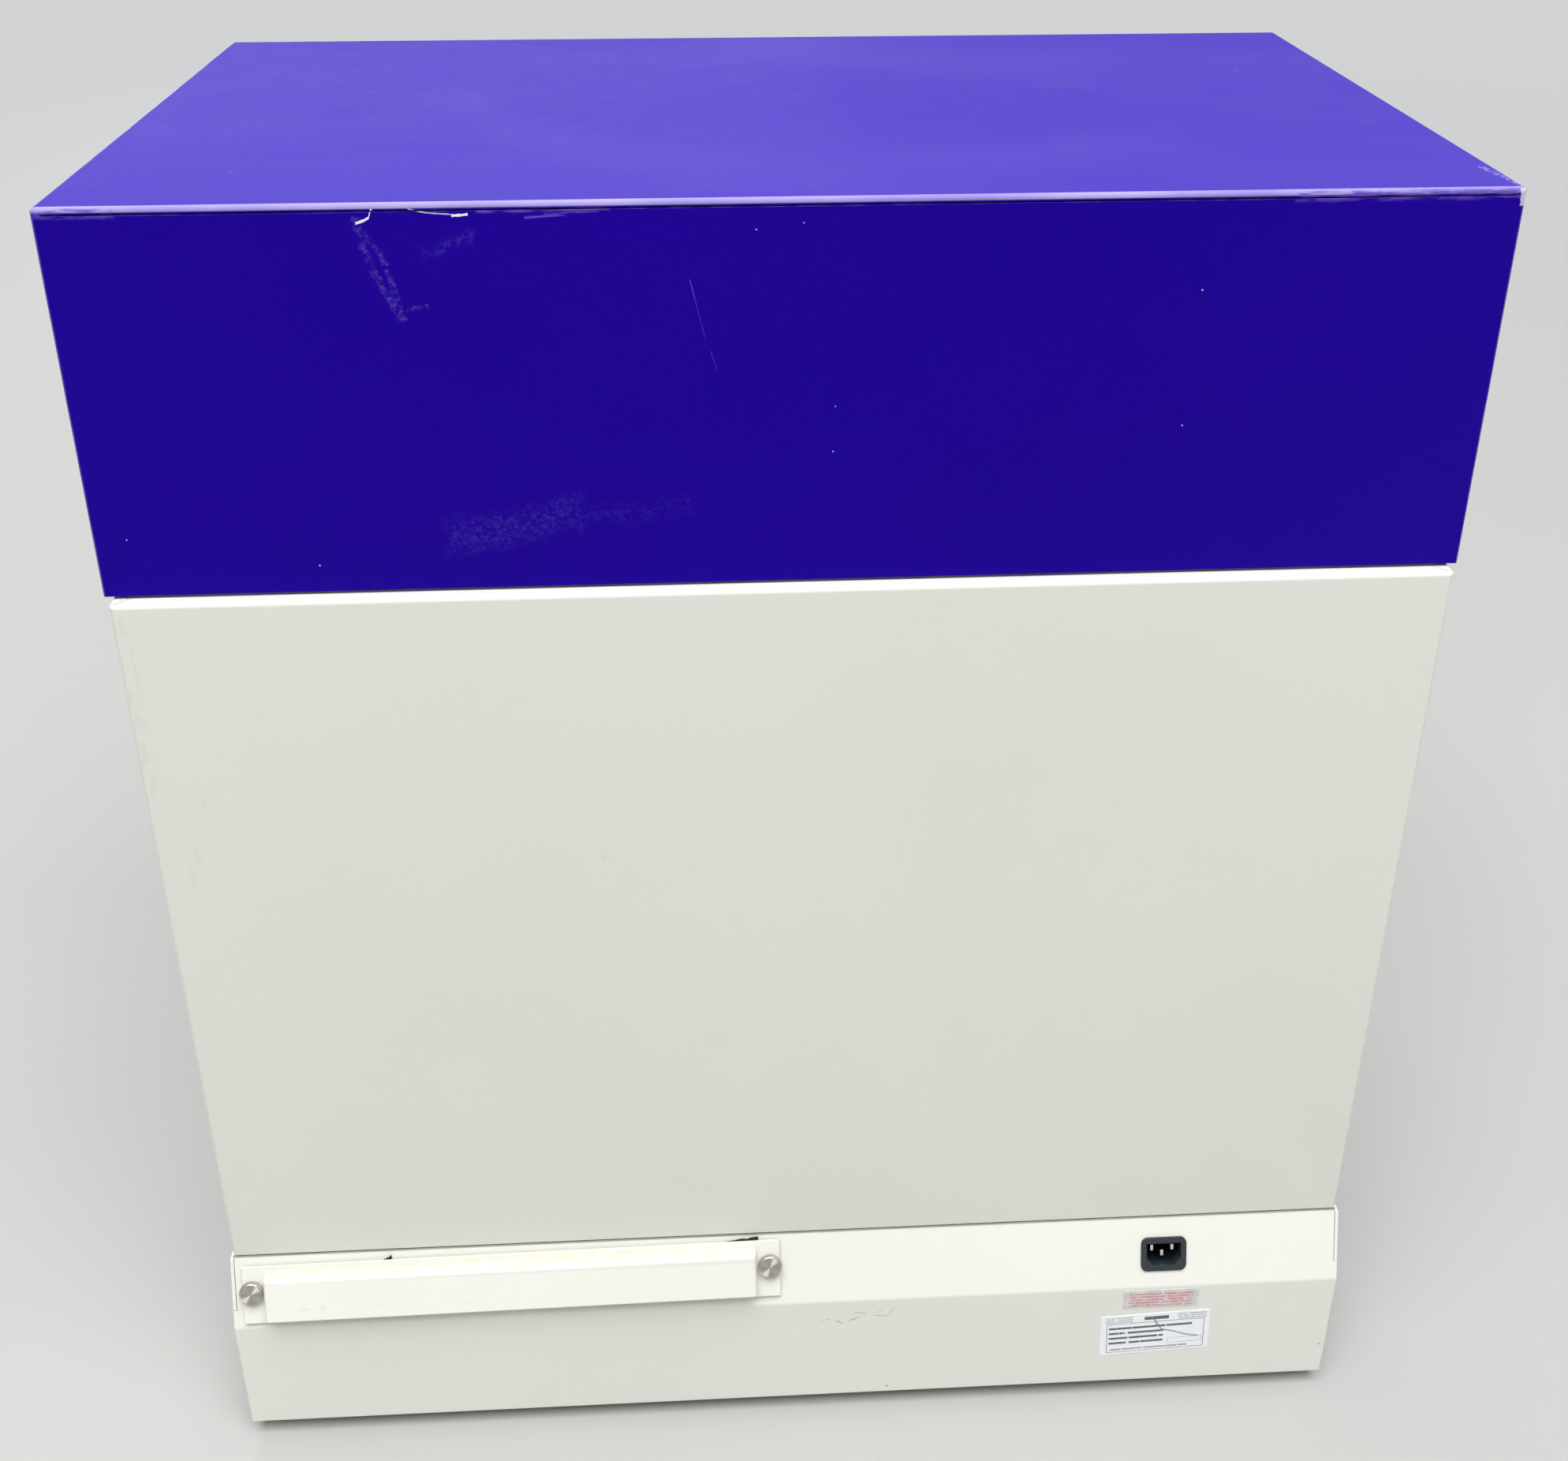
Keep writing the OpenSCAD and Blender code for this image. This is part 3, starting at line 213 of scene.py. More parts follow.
class Mat(Nodes):
    """Builder for one procedural material."""

    def __init__(self, name, rough=0.5, metal=0.0, spec=0.5):
        self.mat = bpy.data.materials.new(name)
        self.mat.use_nodes = True
        super().__init__(self.mat.node_tree)
        self.bsdf = self.tree.nodes["Principled BSDF"]
        self.put(rough, self.bsdf.inputs["Roughness"])
        self.put(metal, self.bsdf.inputs["Metallic"])
        self.put(spec, self.bsdf.inputs["Specular IOR Level"])
        coords = self.node("ShaderNodeTexCoord")
        self.pos = coords.outputs["Object"]
        self.facing = coords.outputs["Normal"]
        self.soft = None
        self.normal = None
        self.sways = {}

    def set(self, name, value):
        self.put(value, self.bsdf.inputs[name])

    def local(self, origin, right, up):
        """Lengths in mm of the shaded point from origin, along right and along up."""
        rel = self.vec("SUBTRACT", self.pos, tuple(origin))
        return (self.vec("DOT_PRODUCT", rel, tuple(right / MM)),
                self.vec("DOT_PRODUCT", rel, tuple(up / MM)))

    def stretched(self, *grain):
        """The shaded point with each axis scaled, for streaks."""
        return self.vec("MULTIPLY", self.pos, grain)

    def noise(self, scale, detail=3.0, rough=0.55, at=None, distortion=0.0):
        """Noise from 0 to 1 with scale features per metre, or per unit of `at`."""
        made = self.node("ShaderNodeTexNoise")
        self.put(at if at is not None else self.pos, made.inputs["Vector"])
        settings = {"Scale": scale, "Detail": detail, "Roughness": rough, "Distortion": distortion}
        for key, value in settings.items():
            self.put(value, made.inputs[key])
        return made.outputs["Fac"]

    def cells(self, scale):
        """Distance from the nearest of scattered points, scale of them per metre."""
        made = self.node("ShaderNodeTexVoronoi")
        self.put(self.pos, made.inputs["Vector"])
        self.put(scale, made.inputs["Scale"])
        return made.outputs["Distance"]

    def surface(self, shader):
        """Makes a shader the material's surface, in place of the plain one."""
        self.put(shader, self.tree.nodes["Material Output"].inputs["Surface"])

    def rounded(self, radius):
        """Softens the solid's sharp edges in the shading by a radius in mm."""
        made = self.node("ShaderNodeBevel", samples=4)
        self.put(radius * MM, made.inputs["Radius"])
        self.soft = made.outputs[0]
        self.normal = self.soft
        self.set("Normal", self.normal)

    def bump(self, height, relief, strength):
        """Adds a layer of relief, in mm, to the ones before it."""
        made = self.node("ShaderNodeBump")
        self.put(strength, made.inputs["Strength"])
        self.put(relief * MM, made.inputs["Distance"])
        self.put(height, made.inputs["Height"])
        self.put(self.normal, made.inputs["Normal"])
        self.normal = made.outputs[0]
        self.set("Normal", self.normal)

    def edges(self):
        """1 where rounded() bends the normal, close to the solid's sharp edges, 0 on its faces."""
        flat = self.node("ShaderNodeNewGeometry").outputs["True Normal"]
        return self.ramp(self.vec("DOT_PRODUCT", self.soft, flat), 0.99, 0.86)

    def sway(self, ragged, grain):
        """Wandering offset in mm that makes a mark's border ragged."""
        if grain not in self.sways:
            self.sways[grain] = self.math("SUBTRACT", self.noise(grain, detail=4.0), 0.5)
        return self.math("MULTIPLY", self.sways[grain], ragged)

    def curve(self, share, spots, smooth):
        """Height, at a share of its length, of a line through spots, smooth or with corners."""
        made = self.node("ShaderNodeFloatCurve")
        self.put(share, made.inputs["Value"])
        line = made.mapping.curves[0]
        line.points[0].location = spots[0]
        line.points[1].location = spots[-1]
        for spot in spots[1:-1]:
            line.points.new(*spot)
        for point in line.points:
            point.handle_type = "AUTO" if smooth else "VECTOR"
        made.mapping.update()
        return made.outputs[0]

    def stroke(self, uv, points, width, fade, ragged=0.0, grain=350.0):
        """1 within width mm of a line through points, 0 from fade mm further on. The line runs steadily
        along one of the two lengths in uv; its other length follows a curve."""
        (u0, v0), (u1, v1) = points[0], points[-1]
        k = 0 if abs(u1 - u0) > abs(v1 - v0) else 1
        path = sorted((p[k], p[1 - k]) for p in points)
        start, end = path[0][0], path[-1][0]
        low, high = min(p[1] for p in path), max(p[1] for p in path)
        tall = max(high - low, 0.01)
        share = self.math("MULTIPLY_ADD", uv[k], 1 / (end - start), -start / (end - start), clamp=True)
        spots = [((a - start) / (end - start), (b - low) / tall) for a, b in path]
        centre = self.math("MULTIPLY_ADD", self.curve(share, spots, smooth=width > 2), tall, low)
        aside = self.math("ABSOLUTE", self.math("SUBTRACT", uv[1 - k], centre))
        beyond = self.math("ABSOLUTE", self.math("SUBTRACT", uv[k], (start + end) / 2))
        gap = self.most(aside, self.math("SUBTRACT", beyond, (end - start) / 2))
        if ragged:
            gap = self.math("ADD", gap, self.sway(ragged, grain))
        return self.ramp(gap, width + fade, width)

    def specks(self, places, size):
        """1 at a few tiny ragged spots about size mm in radius."""
        near = self.vec("DISTANCE", self.pos, tuple(places[0]))
        for place in places[1:]:
            near = self.math("MINIMUM", near, self.vec("DISTANCE", self.pos, tuple(place)))
        near = self.math("ADD", near, self.math("MULTIPLY", self.sway(2.5 * size, 700.0), MM))
        return self.ramp(near, 1.5 * size * MM, 0.7 * size * MM)

    def past(self, axis, limit):
        """1 where the shaded point lies beyond a place on one axis, as on the face at a solid's end."""
        return self.math("GREATER_THAN", self.part(self.pos, axis), limit)

    def bar(self, u, v, at, size):
        """1 inside a rectangle, given its centre and its size."""
        across = self.math("COMPARE", u, at[0], size[0] / 2)
        return self.product(across, self.math("COMPARE", v, at[1], size[1] / 2))

    def border(self, u, v, at, size, line):
        """1 on the outline of a rectangle."""
        inner = self.bar(u, v, at, (size[0] - 2 * line, size[1] - 2 * line))
        return self.math("SUBTRACT", self.bar(u, v, at, size), inner)

    def dashes(self, u, v, at, size, rows, fill, seed):
        """Rows of plain dashes of uneven length inside a rectangle, with no letters in them; fill is the
        inked share of a row's height, and seed varies the gaps."""
        pitch = size[1] / rows
        level = self.math("DIVIDE", self.math("SUBTRACT", v, at[1] - size[1] / 2), pitch)
        row = self.math("FLOOR", level)
        inked = self.math("COMPARE", self.math("FRACT", level), 0.5, fill / 2)
        spot = self.joined(self.math("MULTIPLY", u, 1.1 / pitch), self.math("MULTIPLY", row, 7.3), seed)
        words = self.ramp(self.noise(1.0, detail=1.0, at=spot), 0.36, 0.42)
        return self.product(self.bar(u, v, at, size), inked, words)


def linear(value):
    """Linear light of one display value from 0 to 255."""
    value /= 255
    return value / 12.92 if value < 0.04045 else ((value + 0.055) / 1.055) ** 2.4


def srgb(r, g, b):
    return tuple(linear(v) for v in (r, g, b))


def times(colour, share):
    return tuple(c * share for c in colour)


def coat(mat, *nodes):
    """Gives CAD nodes a material."""
    for name in nodes:
        slots = NODES[name].data.materials
        slots.clear()
        slots.append(mat.mat)


# ---------------------------------------------------------------- paint

WHITE = (0.80, 0.80, 0.735)
DUST = (0.42, 0.38, 0.28)
VIOLET = (0.010, 0.0006, 0.275)
VIOLET_SHEEN = (0.5, 0.12, 1.0)
# The next two colours make the hood's upward faces lighter and chalky: partly faded, chalked and dusty paint,
# partly a painted sheen
FADED_AND_SHEEN = (0.010, 0.0006, 0.335)
HAZE_AND_SHEEN = (0.82, 0.58, 1.0)
# Pale violet of the hood's bends and edges: partly rubbed paint, partly a painted highlight
RUBBED_AND_HIGHLIT = (0.84, 0.76, 1.0)
SCUFF = (0.11, 0.06, 0.40)
CHIP = (0.78, 0.76, 0.82)


def white_paint(name, marks=None, painted_shade_tone=1.0):
    """Fine-textured white powder coat, faintly dirty; marks adds a face's wear, and the last argument darkens
    the whole coat as painted shade.
    """
    m = Mat(name, spec=0.35)
    m.rounded(0.7)
    cloud = m.ramp(m.noise(4.0, detail=5.0), 0.35, 0.7, 0.0, 0.5)
    colour = m.mix(cloud, times(WHITE, painted_shade_tone), times(WHITE, 0.955 * painted_shade_tone))
    grime = m.product(m.edges(), m.ramp(m.noise(60.0, detail=4.0), 0.48, 0.7), 0.25)
    colour = m.mix(grime, colour, DUST)
    flecks = m.ramp(m.noise(420.0, detail=1.0), 0.78, 0.81, 0.0, 0.3)
    colour = m.mix(flecks, colour, times(WHITE, 0.6))
    if marks:
        colour = marks(m, colour)
    m.set("Base Color", colour)
    m.set("Roughness", m.ramp(m.noise(35.0), 0.3, 0.7, 0.40, 0.52))
    m.bump(m.noise(420.0, detail=2.0), 0.05, 0.35)
    m.bump(m.noise(1100.0, detail=2.0), 0.03, 0.5)
    return m


def panel_marks(m, colour):
    """Grey rubs down the left edge, a tick, a small dent and a spot."""
    grey = (0.42, 0.42, 0.40)
    uv = m.local(panel_face(0, 0), X, -Z)
    streaks = m.ramp(m.noise(1.0, detail=5.0, at=m.stretched(260.0, 260.0, 70.0)), 0.47, 0.62)
    edge = m.product(m.stroke(uv, [(367, 13), (365, 40), (366, 65), (367, 118)], 0.5, 8.0), streaks, 0.16)
    low = m.product(m.stroke(uv, [(337, 130), (352, 184)], 0.5, 5.0), streaks, 0.12)
    tick = m.stroke(uv, [(112, 175), (113, 178)], 0.2, 0.3)
    spot = m.specks([panel_face(-296, 477)], 0.5)
    marks = m.most(edge, low, m.product(tick, 0.35), m.product(spot, 0.4))
    dent = m.specks([panel_face(283, 1), panel_face(284, 1.5)], 1.8)
    m.bump(m.math("SUBTRACT", 1.0, dent), 0.3, 0.7)
    return m.mix(m.product(marks, m.past("Y", panel_hi.y - MM)), colour, grey)


def cover_marks(m, colour):
    """A thin grey scribble and a few spots on the base's rear wall, and a dark line and dust at the seam."""
    pen = (0.13, 0.13, 0.13)
    uv = m.local(base_wall(0, 0), X, Z)
    fade = m.ramp(m.noise(130.0, detail=4.0), 0.38, 0.56)
    curl = [(-19, 87), (-25, 88.5), (-33, 84), (-42, 88), (-50, 92.5), (-55, 90), (-63, 89)]
    scribble = m.product(m.stroke(uv, curl, 0.12, 0.4, ragged=0.5), fade, 0.75)
    tail = m.product(m.stroke(uv, [(-63, 89), (-68, 97)], 0.12, 0.35), 0.4)
    second = m.product(m.stroke(uv, [(-41, 93.5), (-52, 92.5), (-61, 94)], 0.1, 0.4, ragged=0.4), fade, 0.5)
    spots = m.product(m.specks([base_wall(-369, 41), base_wall(-65, 19)], 0.8), 0.5)
    marks = m.product(m.most(scribble, tail, second, spots), m.past("Y", cover_hi.y - MM))
    down = m.local(rear_slope(0, 0), X, SLOPE_DOWN)[1]
    dust = m.product(m.ramp(down, 4.0, 0.5), m.ramp(m.noise(90.0, detail=5.0), 0.4, 0.65), 0.10)
    seam = m.product(m.ramp(down, 1.3, 0.7), 0.7)
    return m.mix(seam, m.mix(dust, m.mix(marks, colour, pen), DUST), pen)


def intake_marks(m, colour):
    """Dust on the raised hood's upper ledge, and grey rubs on its face."""
    uv = m.local(rear_slope(0, 0), X, SLOPE_DOWN)
    colour = m.mix(m.product(m.stroke(uv, [(28, 10), (346, 10)], 3.0, 1.5), 0.13), colour, DUST)
    corner = m.stroke(uv, [(28, 8.8), (346, 11.0)], 0.5, 1.8, ragged=1.5, grain=120.0)
    dust = m.product(corner, m.ramp(m.noise(160.0, detail=5.0), 0.42, 0.62), 0.28)
    colour = m.mix(dust, colour, (0.62, 0.54, 0.34))
    rub = m.stroke(uv, [(60, 36), (330, 34)], 1.0, 4.0)
    return m.mix(m.product(rub, m.ramp(m.noise(160.0), 0.6, 0.75), 0.3), colour, times(WHITE, 0.45))


def rear_scuffs(m, rear, grit):
    """Share of scuffed paint on the hood's rear: forked scrape, smears, scratch and rubbed top edge."""
    fall = [(218, 9), (216, 20), (211, 36), (206, 48), (199, 60)]
    side = [(213, 16), (207, 26), (203, 40), (200, 56)]
    scrape = m.most(m.stroke(rear, fall, 0.6, 2.6, 5.0, 160.0),
                    m.stroke(rear, side, 0.3, 2.2, 5.0, 160.0),
                    m.stroke(rear, [(200, 56), (187, 54)], 0.2, 1.6, 3.0))
    patch = m.stroke(rear, [(124, 172), (150, 180), (178, 184)], 3.0, 13.0, 14.0, 60.0)
    low_rub = m.stroke(rear, [(60, 168), (88, 174), (108, 171)], 1.0, 9.0, 9.0, 60.0)
    high_rub = m.stroke(rear, [(163, 18), (171, 21), (183, 26)], 0.5, 5.0, 5.0, 60.0)
    smears = m.most(m.product(patch, 0.32), m.product(low_rub, 0.15), m.product(high_rub, 0.3))
    scratch = m.most(m.stroke(rear, [(53, 42), (46, 73)], 0.06, 0.35),
                     m.stroke(rear, [(43, 81), (40, 91)], 0.06, 0.3))
    scratch = m.product(scratch, m.ramp(m.noise(45.0), 0.42, 0.58, 0.3, 0.9))
    top_edge = m.most(m.stroke(rear, [(-374, 3), (-258, 3)], 0.8, 3.0, 2.5, 160.0),
                      m.stroke(rear, [(371, 3), (337, 3)], 0.6, 3.0, 2.5, 160.0),
                      m.stroke(rear, [(157, 4.8), (134, 4.4), (93, 4.2)], 0.3, 1.2, 1.0, 160.0),
                      m.stroke(rear, [(124, 6.6), (98, 5.3)], 0.15, 0.8, 0.6, 160.0),
                      m.stroke(rear, [(134, 8.2), (113, 6.9)], 0.15, 0.8, 0.6, 160.0))
    streaks = m.ramp(m.noise(1.0, detail=5.0, at=m.stretched(60.0, 60.0, 420.0)), 0.4, 0.58)
    return m.most(m.product(scrape, grit, 0.8), m.product(smears, grit), scratch,
                  m.product(top_edge, streaks))


def rear_chips(m, rear):
    """Share of bared paint at the chips along the top edge of the hood's rear, and at one corner."""
    big = m.stroke(rear, [(217, 9.8), (213, 8.3), (211, 7.2), (209.8, 3.4)], 0.55, 0.25, 1.2)
    thin = m.stroke(rear, [(191, 3.0), (183.5, 4.9), (170, 6.1)], 0.15, 0.3, 0.6)
    tail = m.stroke(rear, [(169.7, 6.7), (167, 6.6), (163, 6.1)], 0.45, 0.25, 1.2)
    corner = m.stroke(rear, [(-373, 2), (-374, 8)], 1.2, 0.6, 2.0)
    return m.most(big, tail, m.product(thin, 0.6), m.product(corner, 0.6))


def tiny_chips(m):
    """Specks of bared paint scattered over the hood's rear and top."""
    on_rear = [(-212, 52), (-209, 128), (-22, 113), (-21, 139), (357, 182), (257, 200), (19, 16), (-5, 13)]
    on_top = [(243, -122), (-11, -27), (-309, -41), (292, 187), (276, 208), (-170, 131)]
    places = [hood_rear(*p) for p in on_rear] + [hood_top(*p) for p in on_top]
    return m.product(m.specks(places, 0.4), 0.5)


def violet_wear(m):
    """Shares of scuffed and of bared paint on the hood, as two sockets."""
    rear = m.local(hood_rear(0, 0), X, -Z)
    top = m.local(hood_top(0, 0), X, Y)
    grit = m.ramp(m.noise(480.0, detail=4.0, rough=0.7), 0.42, 0.72)
    on_rear = m.past("Y", hood_hi.y - MM)
    on_top = m.past("Z", lid_hi.z - MM)
    top_line = m.product(m.stroke(top, [(-337, 107), (-358, 100)], 0.2, 0.6), 0.6)
    top_corner = m.product(m.stroke(top, [(-368, 211), (-374, 248)], 0.5, 3.0, 5.0, 160.0), grit, 0.5)
    scuffs = m.most(m.product(rear_scuffs(m, rear, grit), on_rear), m.product(top_line, on_top))
    bared = m.most(m.product(rear_chips(m, rear), on_rear), tiny_chips(m), m.product(top_corner, on_top))
    return scuffs, bared


def violet_paint():
    """Violet powder coat. Where it faces up it is lighter and chalky, partly faded, chalked and dusty paint
    and partly a painted sheen. Along its bends it is pale, partly rubbed paint and partly a painted
    highlight. It is scuffed on its rear face.
    """
    m = Mat("violet_powder_coat", spec=0.16)
    m.set("Specular Tint", VIOLET_SHEEN)
    m.rounded(0.5)
    # Upward faces are lighter and chalky: partly faded, chalked and dusty paint, partly a painted sheen
    # standing in for the light they reflect
    upward = m.ramp(m.part(m.facing, "Z"), 0.2, 0.95)
    drift = m.noise(1.0, detail=5.0, rough=0.5, at=m.stretched(1.6, 3.4, 3.0), distortion=0.6)
    top = m.local(hood_top(0, 0), X, Y)
    arc = m.stroke(top, [(183, 29), (101, 150), (0, 197), (-107, 186), (-188, 147)], 4.0, 60.0)
    wipes = m.most(arc, m.stroke(top, [(-18, -134), (-169, -46)], 10.0, 80.0))
    chalk_and_sheen = m.math("ADD", m.ramp(drift, 0.3, 0.7, 0.044, 0.062), m.product(wipes, 0.010))
    chalk_and_sheen = m.product(chalk_and_sheen, m.ramp(m.noise(500.0, detail=4.0), 0.2, 0.8, 0.9, 1.1))
    colour = m.mix(m.ramp(m.noise(3.0, detail=4.0), 0.3, 0.7, 0.0, 0.3), VIOLET, times(VIOLET, 0.78))
    colour = m.mix(m.product(chalk_and_sheen, upward), m.mix(upward, colour, FADED_AND_SHEEN), HAZE_AND_SHEEN)
    across, below = m.local(hood_rear(0, 0), X, -Z)
    half = hood_hi.x / MM
    # The sheet's bends, painted paler, partly as rubbed paint and partly as a painted highlight: a band along
    # the top of the rear face, and a narrow one down each of its sides; its sharp edges are paled the same
    # way
    rear_bend_wear_and_highlight = m.product(m.ramp(below, 3.0, 2.2), m.past("Y", hood_hi.y - 2.6 * MM))
    side_bend_wear_and_highlight = m.product(m.ramp(m.math("ABSOLUTE", across), half - 1.6, half - 0.6),
                          m.past("Y", hood_hi.y - 2 * MM))
    worn = m.most(m.product(rear_bend_wear_and_highlight, m.ramp(m.noise(14.0, detail=4.0), 0.3, 0.7, 0.26, 0.38)),
                  m.product(side_bend_wear_and_highlight, m.ramp(m.noise(30.0, detail=4.0), 0.3, 0.7, 0.06, 0.16)),
                  m.product(m.edges(), m.ramp(m.noise(80.0, detail=5.0), 0.45, 0.65), 0.12))
    colour = m.mix(worn, colour, RUBBED_AND_HIGHLIT)
    scuffs, bared = violet_wear(m)
    colour = m.mix(scuffs, colour, SCUFF)
    m.set("Base Color", m.mix(bared, colour, CHIP))
    m.set("Roughness", m.ramp(m.noise(28.0), 0.3, 0.7, 0.34, 0.44))
    m.bump(m.noise(900.0, detail=2.0), 0.03, 0.5)
    return m


# ---------------------------------------------------------------- metal


def brushed(name, colour, grain, rough):
    """Brushed sheet metal; grain scales each axis, and the small one runs along the brushing."""
    m = Mat(name, metal=1.0)
    m.rounded(0.3)
    lines = m.noise(1.0, detail=5.0, rough=0.7, at=m.stretched(*grain))
    smudge = m.noise(14.0, detail=4.0)
    shade = m.mix(m.ramp(lines, 0.3, 0.7), colour, times(colour, 0.86))
    m.set("Base Color", m.mix(m.ramp(smudge, 0.45, 0.75, 0.0, 0.25), shade, times(colour, 0.75)))
    m.set("Roughness", m.math("ADD", m.ramp(lines, 0.3, 0.7, rough - 0.06, rough + 0.06),
                              m.ramp(smudge, 0.4, 0.7, 0.0, 0.08)))
    m.bump(lines, 0.01, 0.35)
    return m


def zinc():
    """Zinc-plated steel with faint spangle and dull streaks."""
    m = Mat("zinc_plated_steel", metal=1.0)
    m.rounded(0.4)
    base = srgb(196, 198, 200)
    spangle = m.cells(140.0)
    colour = m.mix(m.ramp(spangle, 0.1, 0.7, 0.0, 0.5), base, times(base, 0.82))
    colour = m.mix(m.ramp(m.noise(9.0, detail=5.0), 0.5, 0.75, 0.0, 0.35), colour, srgb(168, 162, 146))
    m.set("Base Color", colour)
    m.set("Roughness", m.ramp(m.noise(30.0), 0.3, 0.7, 0.3, 0.48))
    m.bump(m.noise(260.0), 0.02, 0.3)
    return m


def turned_steel(name, screw):
    """Steel turned about a screw's axis: its grooves spread the light outwards, in two opposite fans."""
    centre, axis = joint(screw)
    m = Mat(name, metal=1.0)
    m.rounded(0.25)
    rel = m.vec("SUBTRACT", m.pos, tuple(centre))
    rise = m.vec("DOT_PRODUCT", rel, tuple(axis))
    flat = m.vec("SUBTRACT", rel, m.vec("SCALE", tuple(axis), scale=rise))
    radius = m.vec("LENGTH", flat)
    grooves = m.noise(1.0, detail=4.0, rough=0.7, at=m.joined(m.math("MULTIPLY", radius, 4500.0), 0.0))
    base = srgb(222, 217, 212)
    m.set("Base Color", m.mix(m.ramp(grooves, 0.3, 0.7), base, times(base, 0.8)))
    m.set("Roughness", m.ramp(grooves, 0.3, 0.7, 0.44, 0.56))
    m.set("Anisotropic", 0.9)
    m.set("Anisotropic Rotation", 0.1)
    m.set("Tangent", m.vec("NORMALIZE", flat))
    m.bump(grooves, 0.006, 0.5)
    return m


# ---------------------------------------------------------------- plastic, rubber, glass, film


def moulded(name, colour, rough, wear=0.12):
    """Moulded plastic: fine spark texture, rubbed paler along its edges, with a little dust."""
    m = Mat(name)
    m.rounded(0.3)
    base = srgb(*colour)
    pale = tuple(min(1.0, c * 1.5 + 0.06) for c in base)
    shade = m.mix(m.ramp(m.noise(22.0, detail=4.0), 0.3, 0.7), base, times(base, 0.93))
    shade = m.mix(m.product(m.edges(), m.ramp(m.noise(150.0, detail=4.0), 0.4, 0.6), wear * 4), shade, pale)
    m.set("Base Color", m.mix(m.ramp(m.noise(300.0, detail=3.0), 0.68, 0.76, 0.0, wear), shade, pale))
    m.set("Roughness", m.ramp(m.noise(45.0), 0.3, 0.7, rough * 0.85, min(1.0, rough * 1.15)))
    m.bump(m.cells(2600.0), 0.02, 0.5)
    return m


def inlet_plastic():
    """Black thermoplastic of the mains inlet, with plated pins; deeper in its recess it is painted darker and
    bluish, as painted shade.
    """
    m = moulded("inlet_plastic", (42, 44, 46), 0.38, wear=0.05)
    # The inlet's centre on the face of the slope, found from the seam above it
    seam = rear_slope(0, 0)
    seam.x = middle("power_inlet").x
    centre = seam + SLOPE_DOWN * (centre_along("power_inlet", SLOPE_DOWN) - seam.dot(SLOPE_DOWN))
    across, down = m.local(centre, X, SLOPE_DOWN)
    depth = m.vec("DOT_PRODUCT", m.vec("SUBTRACT", m.pos, tuple(centre)), tuple(SLOPE_N / MM))
    # Darker and bluish deeper in the recess: painted shade
    inside = m.ramp(depth, -1.0, -7.0)
    pins = m.most(*[m.bar(across, down, at, PIN_SIZE) for at in PINS])
    pins = m.product(pins, m.math("LESS_THAN", depth, PIN_TIP), m.math("GREATER_THAN", depth, PIN_ROOT))
    shade = m.mix(inside, srgb(40, 47, 52), srgb(22, 26, 40))
    m.set("Base Color", m.mix(pins, shade, srgb(226, 222, 214)))
    m.set("Metallic", pins)
    m.set("Roughness", m.ramp(pins, 0.0, 1.0, 0.4, 0.2))
    return m


def rubber(name, colour, rough=0.75):
    m = Mat(name, spec=0.35)
    m.rounded(0.5)
    base = srgb(*colour)
    worn = m.product(m.edges(), m.ramp(m.noise(120.0, detail=4.0), 0.4, 0.6), 0.35)
    shade = m.mix(m.ramp(m.noise(25.0, detail=5.0), 0.4, 0.75, 0.0, 0.35), base, times(DUST, 0.6))
    m.set("Base Color", m.mix(worn, shade, times(DUST, 0.7)))
    m.set("Roughness", m.ramp(m.noise(70.0), 0.3, 0.7, rough - 0.08, rough + 0.1))
    m.bump(m.noise(700.0, detail=3.0), 0.04, 0.5)
    return m


def foam(name, colour, pores):
    """Open-cell foam: pores of the given number per metre, dusty on its high spots."""
    m = Mat(name, rough=0.95, spec=0.1)
    base = srgb(*colour)
    cell = m.cells(pores)
    shade = m.mix(m.ramp(cell, 0.1, 0.6), times(base, 0.35), base)
    m.set("Base Color", m.mix(m.ramp(m.noise(40.0, detail=5.0), 0.5, 0.75, 0.0, 0.2), shade, DUST))
    m.bump(m.math("SUBTRACT", 1.0, cell), 0.5, 0.9)
    m.bump(m.noise(pores * 3, detail=3.0), 0.1, 0.5)
    return m


def clear(name, tint, smear=0.06):
    """Clear sheet or tube with faint dusty wipe marks; shadows pass through it."""
    m = Mat(name, rough=0.0)
    m.set("Base Color", srgb(*tint))
    m.set("Transmission Weight", 1.0)
    m.set("IOR", 1.49)
    wipes = m.noise(1.0, detail=4.0, rough=0.55, at=m.stretched(18.0, 18.0, 150.0), distortion=0.6)
    m.bump(m.noise(3.0, detail=1.0), 0.05, 0.05)
    dust = m.node("ShaderNodeBsdfDiffuse")
    m.put(srgb(214, 218, 220), dust.inputs[0])
    through = m.node("ShaderNodeBsdfTransparent")
    m.put(srgb(*(min(255, t + 4) for t in tint)), through.inputs[0])
    shadow = m.node("ShaderNodeLightPath").outputs["Is Shadow Ray"]
    dusty = m.blend(m.ramp(wipes, 0.5, 0.8, 0.0, smear), m.bsdf.outputs[0], dust.outputs[0])
    m.surface(m.blend(shadow, dusty, through.outputs[0]))
    return m


def phosphor():
    """Satin white tube, darker towards its ends where the electrodes have blackened it."""
    m = Mat("lamp_phosphor", rough=0.18, spec=0.6)
    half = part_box("white_tube")[1].x
    ends = m.ramp(m.math("ABSOLUTE", m.part(m.pos, "X")), half - 35 * MM, half - 5 * MM)
    m.set("Base Color", m.mix(m.product(ends, 0.55), srgb(244, 245, 242), srgb(92, 88, 84)))
    m.bump(m.noise(60.0), 0.01, 0.2)
    return m


